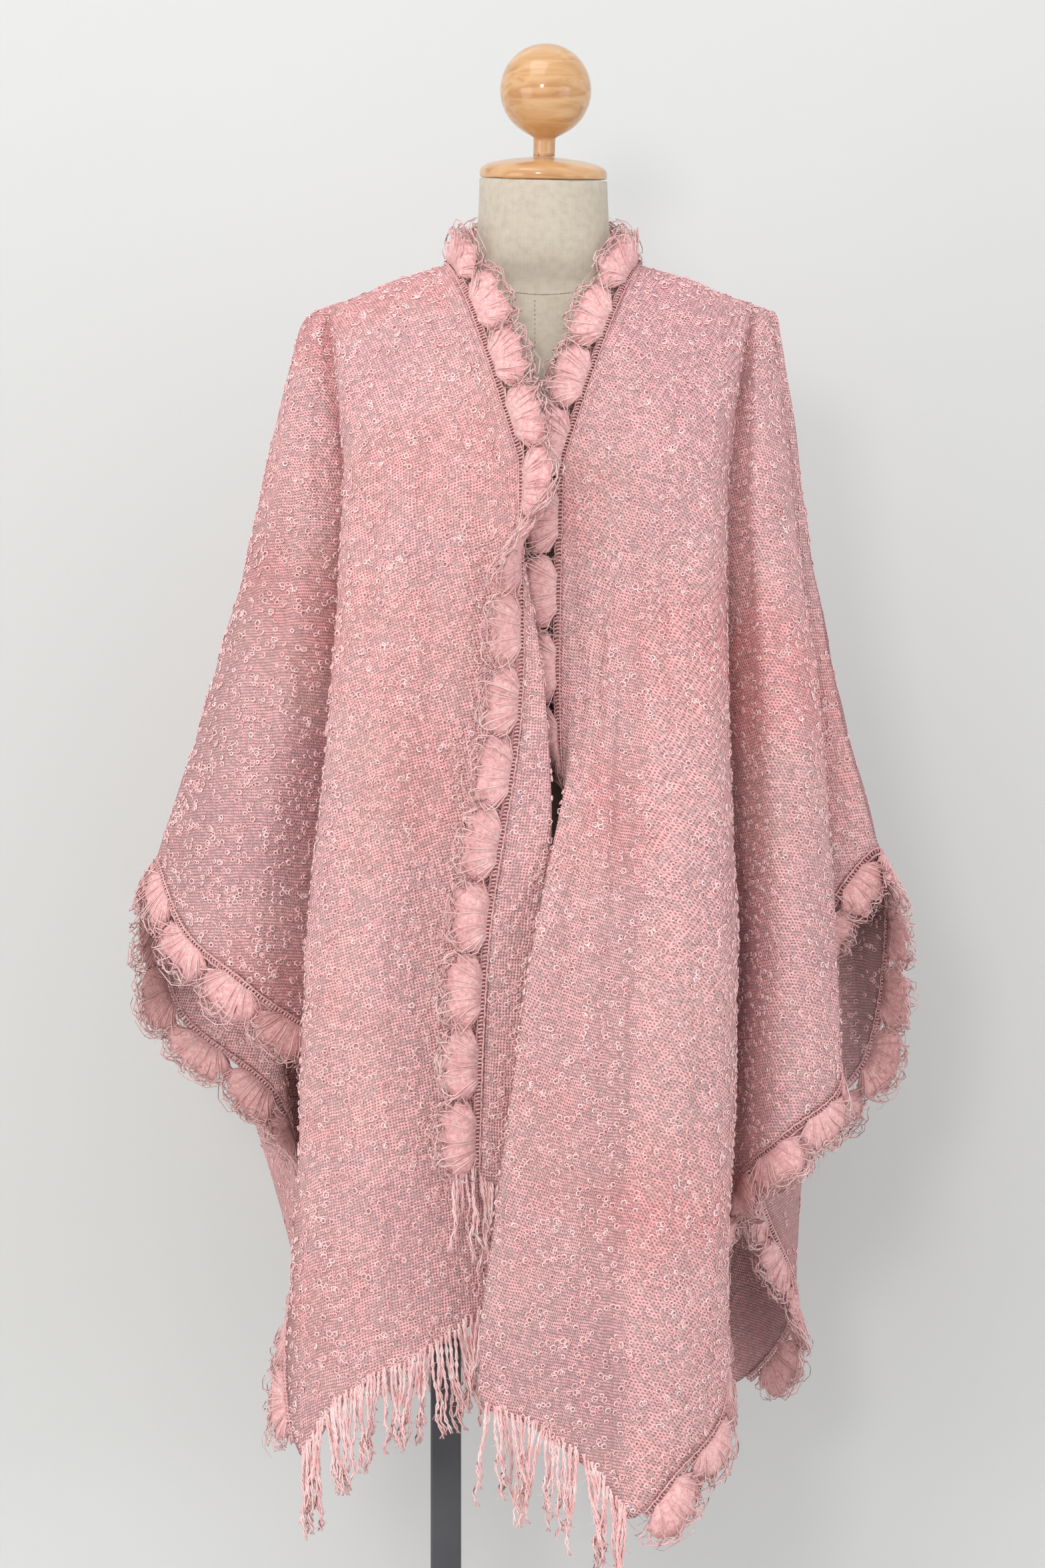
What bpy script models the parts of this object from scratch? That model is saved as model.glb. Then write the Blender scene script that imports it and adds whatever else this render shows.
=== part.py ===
"""A boucle poncho on a limbless dress form, in metres, +Z up, the front facing -Y.

The poncho is an open-front cape. Its folds are columns that run down from the shoulder line,
and each row of the wall is a smooth curve through all the columns, from the left front edge
round the back to the right front edge. Left and right are as seen from the front.
The origin is the middle of the base's underside.
"""

import math
from collections import namedtuple

import bmesh
import bpy
from mathutils import Vector

CLOTH_WALL = 0.002
SEAM_GAP = 0.0014
SHOULDER_GAP = 0.0024
EDGE_GAP = 0.0016
FRINGE_GAP = 0.0011
EDGING_WALL = 0.002
STRIP_WALL = 0.0022

CHEST_Z = 1.20
WAIST_Z = 1.00
HIP_Z = 0.80
LOW_Z = 0.50
CLOTH_ROWS = 16
SHOULDER_ROWS = 5
FOLD_STEPS = 3
BACK_STEPS = 2
ABOVE_SHOULDERS_Z = 1.5
SHOULDER_STRAIGHT_SHARE = 0.35
CHEST_LEAN = 0.6
CHEST_DEPTH_SHARE = 0.8
ROW_SHORTEST = 0.002
ROW_EVENNESS = 0.7

NECK_RADIUS_X = 0.085
NECK_DEPTH_BACK = 0.076
NECK_BACK_RISE = 0.014

SHELL_PITCH = 0.060
SHELL_DEPTH = 0.038
SHELL_NOTCH = 0.027
SHELL_BASE = 0.010
SHELL_GAP_SHARE = 0.16
SHELL_END_MARGIN = 0.004
NECK_END_MARGIN = 0.006
SIDE_END_MARGIN = 0.012
COLLAR_LOW_Z = 1.335
COLLAR_HIGH_Z = 1.375
NECK_COLLAR_LOW_Z = 1.30
NECK_COLLAR_HIGH_Z = 1.33
COLLAR_LEAN = 0.25

STRAND_PITCH = 0.0125
BACK_STRAND_PITCH = 0.019
STRAND_LENGTH = 0.082
STRAND_WIDTH = 0.0045
STRIP_HEIGHT = 0.006
STRAND_TAPER = 0.45
STRAND_SWAY_ALONG = 0.10
STRAND_SWAY_OUT = 0.06
STRAND_LENGTH_SPREAD = 0.10
HEM_MARGINS = (0.008, 0.010)
FLAP_MARGINS = (0.004, 0.008)
LEFT_HEM_MARGINS = (0.020, 0.010)

FORM_SIDES = 28
FORM_ROUNDNESS = 0.92
NECK_TOP_Z = 1.457
CAP_RADIUS = 0.0555
CAP_RIM = 0.007
CAP_DOME = 0.012
CAP_FLAT_EXTRA = 0.003
CAP_CHAMFER = 0.0015
CAP_SIDES = 32
CAP_TILT_FRONT = math.radians(10.0)
CAP_TILT_SIDE = math.radians(-1.5)
STEM_RADIUS = 0.0095
STEM_HEIGHT = 0.016
BALL_RADIUS = 0.040
BALL_SIDES = 24
BALL_LEVELS = 11
BALL_LEVEL_ANGLE = 14.1
POST_WIDTH = 0.026
POST_X = -0.084
POST_BEVEL = 0.002
TORSO_BOTTOM_Z = 0.62
BASE_WIDTH = 0.44
BASE_DEPTH = 0.36
BASE_THICKNESS = 0.012
BASE_BEVEL = 0.003
REST_GAP = 0.0003

SHOULDER_LINE = [
    (0.075, 1.388),
    (0.085, 1.382),
    (0.126, 1.370),
    (0.152, 1.358),
    (0.188, 1.346),
    (0.203, 1.338),
    (0.215, 1.320),
]

Fold = namedtuple(
    "Fold",
    "name top chest_x waist_x hip_x low_x chest_y waist_y hip_y low_y bottom",
)

FRONT_LEFT_FOLDS = [
    Fold("edge", -0.085, -0.021, -0.018, -0.045, -0.055, -0.151, -0.174, -0.182, -0.184, 0.620),
    Fold("turn", -0.094, -0.030, 0.000, 0.006, 0.000, -0.146, -0.164, -0.171, -0.173, 0.575),
    Fold("under", -0.103, -0.046, -0.030, -0.032, -0.036, -0.130, -0.148, -0.153, -0.156, 0.515),
    Fold("plain", -0.128, -0.092, -0.092, -0.096, -0.100, -0.122, -0.148, -0.158, -0.163, 0.468),
    Fold("shade", -0.160, -0.138, -0.146, -0.158, -0.160, -0.106, -0.140, -0.156, -0.162, 0.435),
    Fold("ridge", -0.180, -0.166, -0.176, -0.195, -0.200, -0.084, -0.118, -0.136, -0.142, 0.385),
    Fold("hang", -0.184, -0.163, -0.168, -0.187, -0.212, -0.062, -0.078, -0.096, -0.108, 0.500),
    Fold("valley", -0.188, -0.166, -0.164, -0.170, -0.176, -0.036, -0.034, -0.038, -0.044, 0.690),
    Fold("wing_front", -0.193, -0.196, -0.216, -0.240, -0.260, -0.046, -0.074, -0.086, -0.090, 0.765),
    Fold("wing_out", -0.198, -0.224, -0.264, -0.303, -0.340, -0.034, -0.050, -0.058, -0.060, 0.812),
]

WING_EDGE_LEFT = Fold(
    "wing_edge_left", -0.203, -0.240, -0.292, -0.354, -0.420, 0.0, 0.0, 0.0, 0.0, 0.872
)

BACK_FOLDS = [
    Fold("side_left", -0.198, -0.224, -0.270, -0.316, -0.330, 0.036, 0.058, 0.070, 0.072, 0.742),
    Fold("tuck_left", -0.191, -0.180, -0.200, -0.236, -0.210, 0.044, 0.052, 0.056, 0.060, 0.655),
    Fold("fold_left", -0.185, -0.192, -0.236, -0.290, -0.222, 0.086, 0.118, 0.134, 0.138, 0.490),
    Fold("corner_left", -0.174, -0.160, -0.186, -0.226, -0.200, 0.112, 0.144, 0.166, 0.170, 0.425),
    Fold("back_one", -0.146, -0.128, -0.146, -0.164, -0.160, 0.118, 0.130, 0.134, 0.136, 0.445),
    Fold("back_two", -0.106, -0.094, -0.110, -0.122, -0.124, 0.130, 0.158, 0.184, 0.194, 0.450),
    Fold("back_three", -0.062, -0.056, -0.066, -0.076, -0.078, 0.124, 0.132, 0.136, 0.138, 0.452),
    Fold("back_four", -0.020, -0.014, -0.020, -0.026, -0.030, 0.132, 0.160, 0.188, 0.198, 0.455),
    Fold("back_five", 0.026, 0.030, 0.030, 0.028, 0.026, 0.125, 0.133, 0.138, 0.140, 0.450),
    Fold("back_six", 0.068, 0.070, 0.075, 0.080, 0.078, 0.130, 0.158, 0.186, 0.196, 0.440),
    Fold("back_seven", 0.112, 0.108, 0.118, 0.126, 0.126, 0.120, 0.130, 0.134, 0.136, 0.425),
    Fold("corner_right", 0.152, 0.146, 0.164, 0.182, 0.176, 0.112, 0.144, 0.166, 0.172, 0.390),
    Fold("fold_right", 0.172, 0.182, 0.212, 0.242, 0.228, 0.086, 0.114, 0.128, 0.130, 0.470),
    Fold("tuck_right", 0.182, 0.172, 0.186, 0.200, 0.186, 0.044, 0.052, 0.056, 0.060, 0.600),
    Fold("side_right", 0.190, 0.210, 0.243, 0.278, 0.292, 0.036, 0.054, 0.066, 0.070, 0.700),
]

WING_EDGE_RIGHT = Fold(
    "wing_edge_right", 0.199, 0.2215, 0.256, 0.312, 0.370, 0.0, 0.0, 0.0, 0.0, 0.880
)

FRONT_RIGHT_FOLDS = [
    Fold("tuck_out", 0.194, 0.203, 0.212, 0.224, 0.230, -0.020, -0.024, -0.026, -0.028, 0.790),
    Fold("fold_out", 0.190, 0.2085, 0.232, 0.245, 0.254, -0.044, -0.064, -0.076, -0.080, 0.690),
    Fold("fold_in", 0.186, 0.178, 0.188, 0.196, 0.196, -0.070, -0.096, -0.112, -0.118, 0.645),
    Fold("valley", 0.182, 0.158, 0.156, 0.160, 0.152, -0.050, -0.050, -0.056, -0.062, 0.585),
    Fold("ridge", 0.174, 0.147, 0.148, 0.155, 0.146, -0.092, -0.126, -0.150, -0.156, 0.430),
    Fold("swell", 0.150, 0.112, 0.112, 0.116, 0.104, -0.116, -0.154, -0.188, -0.196, 0.380),
    Fold("corner", 0.132, 0.085, 0.084, 0.082, 0.068, -0.118, -0.153, -0.192, -0.201, 0.345),
    Fold("dip", 0.116, 0.068, 0.062, 0.052, 0.034, -0.118, -0.150, -0.192, -0.201, 0.385),
    Fold("over", 0.100, 0.046, 0.048, 0.020, -0.012, -0.124, -0.150, -0.198, -0.206, 0.420),
    Fold("turn", 0.092, 0.026, 0.028, -0.010, -0.052, -0.128, -0.142, -0.205, -0.211, 0.440),
    Fold("edge", 0.085, 0.016, 0.014, 0.024, 0.000, -0.130, -0.138, -0.182, -0.188, 0.455),
]

TorsoSection = namedtuple("TorsoSection", "z half_width front back")

TORSO_SECTIONS = [
    TorsoSection(TORSO_BOTTOM_Z, 0.134, 0.086, 0.092),
    TorsoSection(0.640, 0.146, 0.094, 0.100),
    TorsoSection(0.700, 0.150, 0.098, 0.108),
    TorsoSection(0.780, 0.148, 0.098, 0.106),
    TorsoSection(0.860, 0.140, 0.092, 0.094),
    TorsoSection(0.940, 0.122, 0.086, 0.084),
    TorsoSection(1.010, 0.128, 0.094, 0.088),
    TorsoSection(1.080, 0.144, 0.112, 0.096),
    TorsoSection(1.140, 0.152, 0.114, 0.102),
    TorsoSection(1.200, 0.156, 0.104, 0.102),
    TorsoSection(1.260, 0.166, 0.086, 0.094),
    TorsoSection(1.305, 0.174, 0.068, 0.078),
    TorsoSection(1.3371, 0.1725, 0.050, 0.054),
    TorsoSection(1.3577, 0.143, 0.040, 0.042),
    TorsoSection(1.3693, 0.099, 0.042, 0.048),
    TorsoSection(1.386, 0.060, 0.052, 0.054),
    TorsoSection(1.420, 0.0565, 0.0555, 0.0555),
    TorsoSection(NECK_TOP_Z, 0.0555, 0.0555, 0.0555),
]


def clear_scene():
    for obj in list(bpy.data.objects):
        bpy.data.objects.remove(obj, do_unlink=True)


def make_material(name, color, roughness, metallic=0.0):
    material = bpy.data.materials.new(name)
    material.use_nodes = True
    shader = material.node_tree.nodes["Principled BSDF"]
    shader.inputs["Base Color"].default_value = (*color, 1.0)
    shader.inputs["Roughness"].default_value = roughness
    shader.inputs["Metallic"].default_value = metallic
    return material


def add_mesh(name, points, faces, material, collection):
    mesh = bpy.data.meshes.new(name)
    mesh.from_pydata([tuple(point) for point in points], [], faces)
    mesh.materials.append(material)
    mesh.update()
    obj = bpy.data.objects.new(name, mesh)
    collection.objects.link(obj)
    return obj


def add_wall(obj, thickness):
    """Gives an open surface its thickness, half to each side."""
    solidify = obj.modifiers.new("Wall", "SOLIDIFY")
    solidify.thickness = thickness
    solidify.offset = 0.0
    solidify.use_even_offset = False


def smooth_at(knots, values, at):
    """A smooth curve through the values, with no overshoot at a level stretch."""
    count = len(knots)
    if at <= knots[0]:
        return values[0]
    if at >= knots[-1]:
        return values[-1]
    slopes = []
    for index in range(count):
        before = max(index - 1, 0)
        after = min(index + 1, count - 1)
        slopes.append((values[after] - values[before]) / (knots[after] - knots[before]))
    index = 0
    while at > knots[index + 1]:
        index += 1
    span = knots[index + 1] - knots[index]
    share = (at - knots[index]) / span
    square = share * share
    cube = square * share
    return (
        (2 * cube - 3 * square + 1) * values[index]
        + (cube - 2 * square + share) * span * slopes[index]
        + (3 * square - 2 * cube) * values[index + 1]
        + (cube - square) * span * slopes[index + 1]
    )


def shoulder_height(x):
    across = abs(x)
    if across < NECK_RADIUS_X:
        share = across / NECK_RADIUS_X
        return SHOULDER_LINE[1][1] + NECK_BACK_RISE * (1.0 - share * share)
    widths = [row[0] for row in SHOULDER_LINE]
    heights = [row[1] for row in SHOULDER_LINE]
    return smooth_at(widths, heights, across)


def neck_back_depth(x):
    share = min(abs(x) / NECK_RADIUS_X, 1.0)
    return NECK_DEPTH_BACK * math.sqrt(1.0 - share * share)


def column_point(fold, share, behind):
    """A point of one fold, where share goes from the shoulder line, 0, to the hem, 1."""
    top_z = shoulder_height(fold.top)
    top_y = neck_back_depth(fold.top) if behind else 0.0
    shoulder_share = SHOULDER_ROWS / CLOTH_ROWS
    if share < shoulder_share:
        run = share / shoulder_share
        z = top_z + (CHEST_Z - top_z) * run * run
        lean = SHOULDER_STRAIGHT_SHARE * run + (1.0 - SHOULDER_STRAIGHT_SHARE) * run * run
        x = fold.top + (fold.chest_x - fold.top) * lean
        y = top_y + (fold.chest_y - top_y) * run
        return Vector((x, y, z))
    run = (share - shoulder_share) / (1.0 - shoulder_share)
    z = CHEST_Z + (fold.bottom - CHEST_Z) * run
    depths = [-ABOVE_SHOULDERS_Z, -CHEST_Z, -WAIST_Z, -HIP_Z, -LOW_Z]
    top_x = fold.chest_x + (fold.chest_x - fold.waist_x) * CHEST_LEAN
    x = smooth_at(depths, [top_x, fold.chest_x, fold.waist_x, fold.hip_x, fold.low_x], -z)
    top_side = fold.chest_y * CHEST_DEPTH_SHARE
    y = smooth_at(depths, [top_side, fold.chest_y, fold.waist_y, fold.hip_y, fold.low_y], -z)
    return Vector((x, y, z))


def ring_folds():
    folds = [(fold, False) for fold in FRONT_LEFT_FOLDS]
    folds.append((WING_EDGE_LEFT, False))
    folds.extend((fold, True) for fold in BACK_FOLDS)
    folds.append((WING_EDGE_RIGHT, True))
    folds.extend((fold, False) for fold in FRONT_RIGHT_FOLDS)
    return folds


def row_curve(share):
    """The fold points of one row, and how far along the row each one lies."""
    points = [column_point(fold, share, behind) for fold, behind in ring_folds()]
    along = [0.0]
    for before, after in zip(points, points[1:]):
        along.append(along[-1] + max((after - before).length, ROW_SHORTEST) ** ROW_EVENNESS)
    return points, along


def point_on_row(row, place):
    """The point at a place counted in folds, such as 3.5 for half way from fold 3 to fold 4."""
    points, along = row
    index = min(int(place), len(points) - 2)
    at = along[index] + (place - index) * (along[index + 1] - along[index])
    first = max(index - 1, 0)
    last = min(index + 2, len(points) - 1)
    knots = along[first : last + 1]
    values = [[point[axis] for point in points[first : last + 1]] for axis in range(3)]
    return Vector(smooth_at(knots, axis_values, at) for axis_values in values)


def panel_grid(first_fold, last_fold, steps, nudge_first, nudge_last, top_gap):
    """Rows of points of one panel, from the shoulder line down."""
    grid = []
    cells = (last_fold - first_fold) * steps
    for row_index in range(CLOTH_ROWS + 1):
        row = row_curve(row_index / CLOTH_ROWS)
        line = []
        for cell in range(cells + 1):
            line.append(point_on_row(row, first_fold + cell / steps))
        if nudge_first:
            line[0] += (line[1] - line[0]).normalized() * SEAM_GAP
        if nudge_last:
            line[-1] += (line[-2] - line[-1]).normalized() * SEAM_GAP
        grid.append(line)
    for column, point in enumerate(grid[0]):
        inward = (grid[1][column] - point).normalized()
        point += inward * top_gap
    return grid


def add_panel(name, grid, material, collection):
    width = len(grid[0])
    points = [point for line in grid for point in line]
    faces = []
    for row in range(len(grid) - 1):
        for column in range(width - 1):
            corner = row * width + column
            faces.append((corner, corner + width, corner + width + 1, corner + 1))
    obj = add_mesh(name, points, faces, material, collection)
    add_wall(obj, CLOTH_WALL)
    return obj


def edge_of(grid, side):
    """The border points of a panel with the points just inside them."""
    if side == "first":
        return [(line[0], line[1]) for line in grid]
    if side == "last":
        return [(line[-1], line[-2]) for line in grid]
    if side == "bottom":
        return list(zip(grid[-1], grid[-2]))
    return list(zip(grid[0], grid[1]))


def border_path(border, turns=2):
    """Each border point with the way out of the cloth there, evened out this many times."""
    path = []
    count = len(border)
    for index, (point, inside) in enumerate(border):
        before = border[max(index - 1, 0)][0]
        after = border[min(index + 1, count - 1)][0]
        along = (after - before).normalized()
        outward = point - inside
        outward -= along * outward.dot(along)
        path.append([point.copy(), outward.normalized()])
    for _ in range(turns):
        ways = [step[1].copy() for step in path]
        for index in range(1, count - 1):
            path[index][1] = (ways[index - 1] + ways[index] * 2 + ways[index + 1]).normalized()
    return path


def path_lengths(path):
    lengths = [0.0]
    for before, after in zip(path, path[1:]):
        lengths.append(lengths[-1] + (after[0] - before[0]).length)
    return lengths


def path_at(path, lengths, distance):
    index = 0
    while index < len(lengths) - 2 and lengths[index + 1] < distance:
        index += 1
    span = max(lengths[index + 1] - lengths[index], 1e-6)
    share = min(max((distance - lengths[index]) / span, 0.0), 1.0)
    point = path[index][0].lerp(path[index + 1][0], share)
    outward = path[index][1].lerp(path[index + 1][1], share).normalized()
    return point, outward


def raise_collar(path, low_z, high_z):
    """Turns the edging upwards where it stands round the neck."""
    for step in path:
        share = (step[0].z - low_z) / (high_z - low_z)
        share = min(max(share, 0.0), 1.0)
        upright = Vector((step[1].x * COLLAR_LEAN, step[1].y * COLLAR_LEAN, 1.0)).normalized()
        step[1] = step[1].lerp(upright, share).normalized()
    return path


def cut_path(path, margin_start, margin_end):
    lengths = path_lengths(path)
    return lengths, margin_start, lengths[-1] - margin_end


def add_edging(name, path, material, collection, margin_start, margin_end):
    """Crocheted shells in a row: a fan for each pitch, and an open cell between two fans."""
    lengths, start, end = cut_path(path, margin_start, margin_end)
    fan_count = max(round((end - start) / SHELL_PITCH), 1)
    pitch = (end - start) / fan_count
    gap = SHELL_GAP_SHARE
    fan = 1.0 - gap
    shares = [0.0, gap, gap + fan / 3.0, gap + fan * 2.0 / 3.0]
    depths = [SHELL_NOTCH, SHELL_NOTCH, SHELL_DEPTH, SHELL_DEPTH]
    lines = []
    for index in range(fan_count):
        for share, depth in zip(shares, depths):
            lines.append((start + (index + share) * pitch, depth))
    lines.append((end, SHELL_NOTCH))
    points = []
    for distance, depth in lines:
        point, outward = path_at(path, lengths, distance)
        for offset in (EDGE_GAP, SHELL_BASE, depth):
            points.append(point + outward * offset)
    faces = []
    for line in range(len(lines) - 1):
        for row in range(2):
            opening = line % len(shares) == 0 and row == 0 and line > 0
            if opening:
                continue
            corner = line * 3 + row
            faces.append((corner, corner + 3, corner + 4, corner + 1))
    obj = add_mesh(name, points, faces, material, collection)
    add_wall(obj, EDGING_WALL)
    return obj


def add_fringe(name, path, pitch, segments, material, collection, margins):
    """A narrow strip along the hem with a strand at each pitch, all one solid."""
    lengths, start, end = cut_path(path, *margins)
    count = max(int((end - start) / pitch), 1)
    places = []
    for index in range(count):
        middle = start + (index + 0.5) * (end - start) / count
        places.append(middle - STRAND_WIDTH / 2)
        places.append(middle + STRAND_WIDTH / 2)
    points = []
    faces = []
    frames = []
    for distance in places:
        point, outward = path_at(path, lengths, distance)
        ahead, _ = path_at(path, lengths, distance + STRAND_WIDTH)
        behind, _ = path_at(path, lengths, distance - STRAND_WIDTH)
        along = (ahead - behind).normalized()
        across = along.cross(outward).normalized()
        frames.append((along, across))
        top = point + outward * FRINGE_GAP
        low = top + outward * STRIP_HEIGHT
        half = across * (STRIP_WALL / 2)
        points.extend([top - half, top + half, low + half, low - half])
    for line in range(len(places) - 1):
        base = line * 4
        for side in range(4):
            if side == 2 and line % 2 == 0:
                continue
            after = (side + 1) % 4
            faces.append((base + side, base + after, base + 4 + after, base + 4 + side))
    last = (len(places) - 1) * 4
    faces.append((3, 2, 1, 0))
    faces.append((last, last + 1, last + 2, last + 3))
    for index in range(count):
        first = index * 8
        root = [first + 2, first + 3, first + 7, first + 6]
        centre = sum((points[corner] for corner in root), Vector()) / 4
        along, across = frames[index * 2]
        sway = along * (STRAND_SWAY_ALONG * math.sin(index * 0.9))
        sway += across * (STRAND_SWAY_OUT * math.cos(index * 0.7))
        way = (Vector((0.0, 0.0, -1.0)) + Vector((sway.x, sway.y, 0.0))).normalized()
        length = STRAND_LENGTH * (1.0 + STRAND_LENGTH_SPREAD * math.sin(index * 2.1))
        ring = root
        for segment in range(1, segments + 1):
            share = segment / segments
            spot = centre + way * (length * share)
            lay = [points[corner] - centre for corner in root]
            shrink = 1.0 - STRAND_TAPER * share
            new_ring = []
            for offset in lay:
                new_ring.append(len(points))
                flat = offset - way * offset.dot(way) * share
                points.append(spot + flat * shrink)
            for side in range(4):
                after = (side + 1) % 4
                faces.append((ring[side], ring[after], new_ring[after], new_ring[side]))
            ring = new_ring
        faces.append(tuple(ring))
    obj = add_mesh(name, points, faces, material, collection)
    shape = bmesh.new()
    shape.from_mesh(obj.data)
    bmesh.ops.recalc_face_normals(shape, faces=shape.faces)
    shape.to_mesh(obj.data)
    shape.free()
    return obj


def torso_ring(section, tilt):
    """One level of the dress form, a rounded ellipse a little fuller at its corners."""
    ring = []
    for index in range(FORM_SIDES):
        angle = 2.0 * math.pi * index / FORM_SIDES
        across = math.copysign(abs(math.cos(angle)) ** FORM_ROUNDNESS, math.cos(angle))
        deep = math.copysign(abs(math.sin(angle)) ** FORM_ROUNDNESS, math.sin(angle))
        depth = section.back if deep > 0 else section.front
        x = section.half_width * across
        y = depth * deep
        lift = tilt * (y * math.tan(CAP_TILT_FRONT) + x * math.tan(CAP_TILT_SIDE))
        ring.append(Vector((x, y, section.z + lift)))
    return ring


def add_torso(material, collection):
    points = []
    last = len(TORSO_SECTIONS) - 1
    for level, section in enumerate(TORSO_SECTIONS):
        points.extend(torso_ring(section, 1.0 if level == last else 0.0))
    faces = [tuple(reversed(range(FORM_SIDES)))]
    for level in range(last):
        for side in range(FORM_SIDES):
            after = (side + 1) % FORM_SIDES
            low = level * FORM_SIDES
            high = low + FORM_SIDES
            faces.append((low + side, low + after, high + after, high + side))
    faces.append(tuple(last * FORM_SIDES + side for side in range(FORM_SIDES)))
    return add_mesh("form_torso", points, faces, material, collection)


def add_turned(name, profile, height, material, collection, steps):
    """A turned piece on the tilted axis of the neck, its foot at this height along the axis."""
    points = [Vector((radius, 0.0, rise)) for radius, rise in profile]
    edges = [(index, index + 1) for index in range(len(points) - 1)]
    mesh = bpy.data.meshes.new(name)
    mesh.from_pydata([tuple(point) for point in points], edges, [])
    mesh.materials.append(material)
    obj = bpy.data.objects.new(name, mesh)
    collection.objects.link(obj)
    screw = obj.modifiers.new("Turned", "SCREW")
    screw.steps = steps
    screw.render_steps = steps
    screw.use_merge_vertices = True
    screw.merge_threshold = 0.00005
    obj.rotation_euler = (CAP_TILT_FRONT, -CAP_TILT_SIDE, 0.0)
    axis = obj.rotation_euler.to_matrix() @ Vector((0.0, 0.0, 1.0))
    obj.location = Vector((0.0, 0.0, NECK_TOP_Z)) + axis * height


def add_cap(material, collection):
    profile = [(0.0, CAP_RIM + CAP_DOME), (STEM_RADIUS + CAP_FLAT_EXTRA, CAP_RIM + CAP_DOME)]
    for step in range(1, 6):
        angle = math.radians(90.0 - 15.0 * step)
        profile.append((CAP_RADIUS * math.cos(angle), CAP_RIM + CAP_DOME * math.sin(angle)))
    profile.extend([(CAP_RADIUS, CAP_RIM), (CAP_RADIUS, CAP_CHAMFER)])
    profile.extend([(CAP_RADIUS - CAP_CHAMFER, 0.0), (0.0, 0.0)])
    add_turned("neck_cap", profile, REST_GAP, material, collection, CAP_SIDES)


def add_finial(material, collection):
    foot = CAP_RIM + CAP_DOME + 2 * REST_GAP
    centre = STEM_HEIGHT + BALL_RADIUS
    profile = [(0.0, centre + BALL_RADIUS)]
    for step in range(1, BALL_LEVELS + 1):
        angle = math.radians(90.0 - BALL_LEVEL_ANGLE * step)
        profile.append((BALL_RADIUS * math.cos(angle), centre + BALL_RADIUS * math.sin(angle)))
    profile.extend([(STEM_RADIUS, STEM_HEIGHT), (STEM_RADIUS, 0.0), (0.0, 0.0)])
    add_turned("finial", profile, foot, material, collection, BALL_SIDES)


def add_box(name, size, centre, bevel, material, collection):
    bpy.ops.mesh.primitive_cube_add(size=1.0, location=centre)
    obj = bpy.context.active_object
    obj.name = name
    obj.data.name = name
    obj.scale = size
    bpy.ops.object.transform_apply(location=False, rotation=False, scale=True)
    for other in list(obj.users_collection):
        other.objects.unlink(obj)
    collection.objects.link(obj)
    obj.data.materials.append(material)
    rounded = obj.modifiers.new("Rounded", "BEVEL")
    rounded.width = bevel
    rounded.segments = 2
    return obj


def build_form(collection):
    linen = make_material("linen_cover", (0.69, 0.63, 0.51), 0.9)
    wood = make_material("varnished_wood", (0.76, 0.48, 0.24), 0.35)
    black = make_material("black_enamel", (0.03, 0.03, 0.033), 0.4)
    add_torso(linen, collection)
    add_cap(wood, collection)
    add_finial(wood, collection)
    post_foot = BASE_THICKNESS + REST_GAP
    post_top = TORSO_BOTTOM_Z - REST_GAP
    size = (POST_WIDTH, POST_WIDTH, post_top - post_foot)
    add_box("post", size, (POST_X, 0.0, (post_foot + post_top) / 2), POST_BEVEL, black, collection)
    size = (BASE_WIDTH, BASE_DEPTH, BASE_THICKNESS)
    add_box("base", size, (0.0, 0.0, BASE_THICKNESS / 2), BASE_BEVEL, black, collection)


def border_slice(grid, first_place, last_place, steps):
    border = edge_of(grid, "bottom")
    return border[int(first_place * steps) : int(last_place * steps) + 1]


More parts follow.
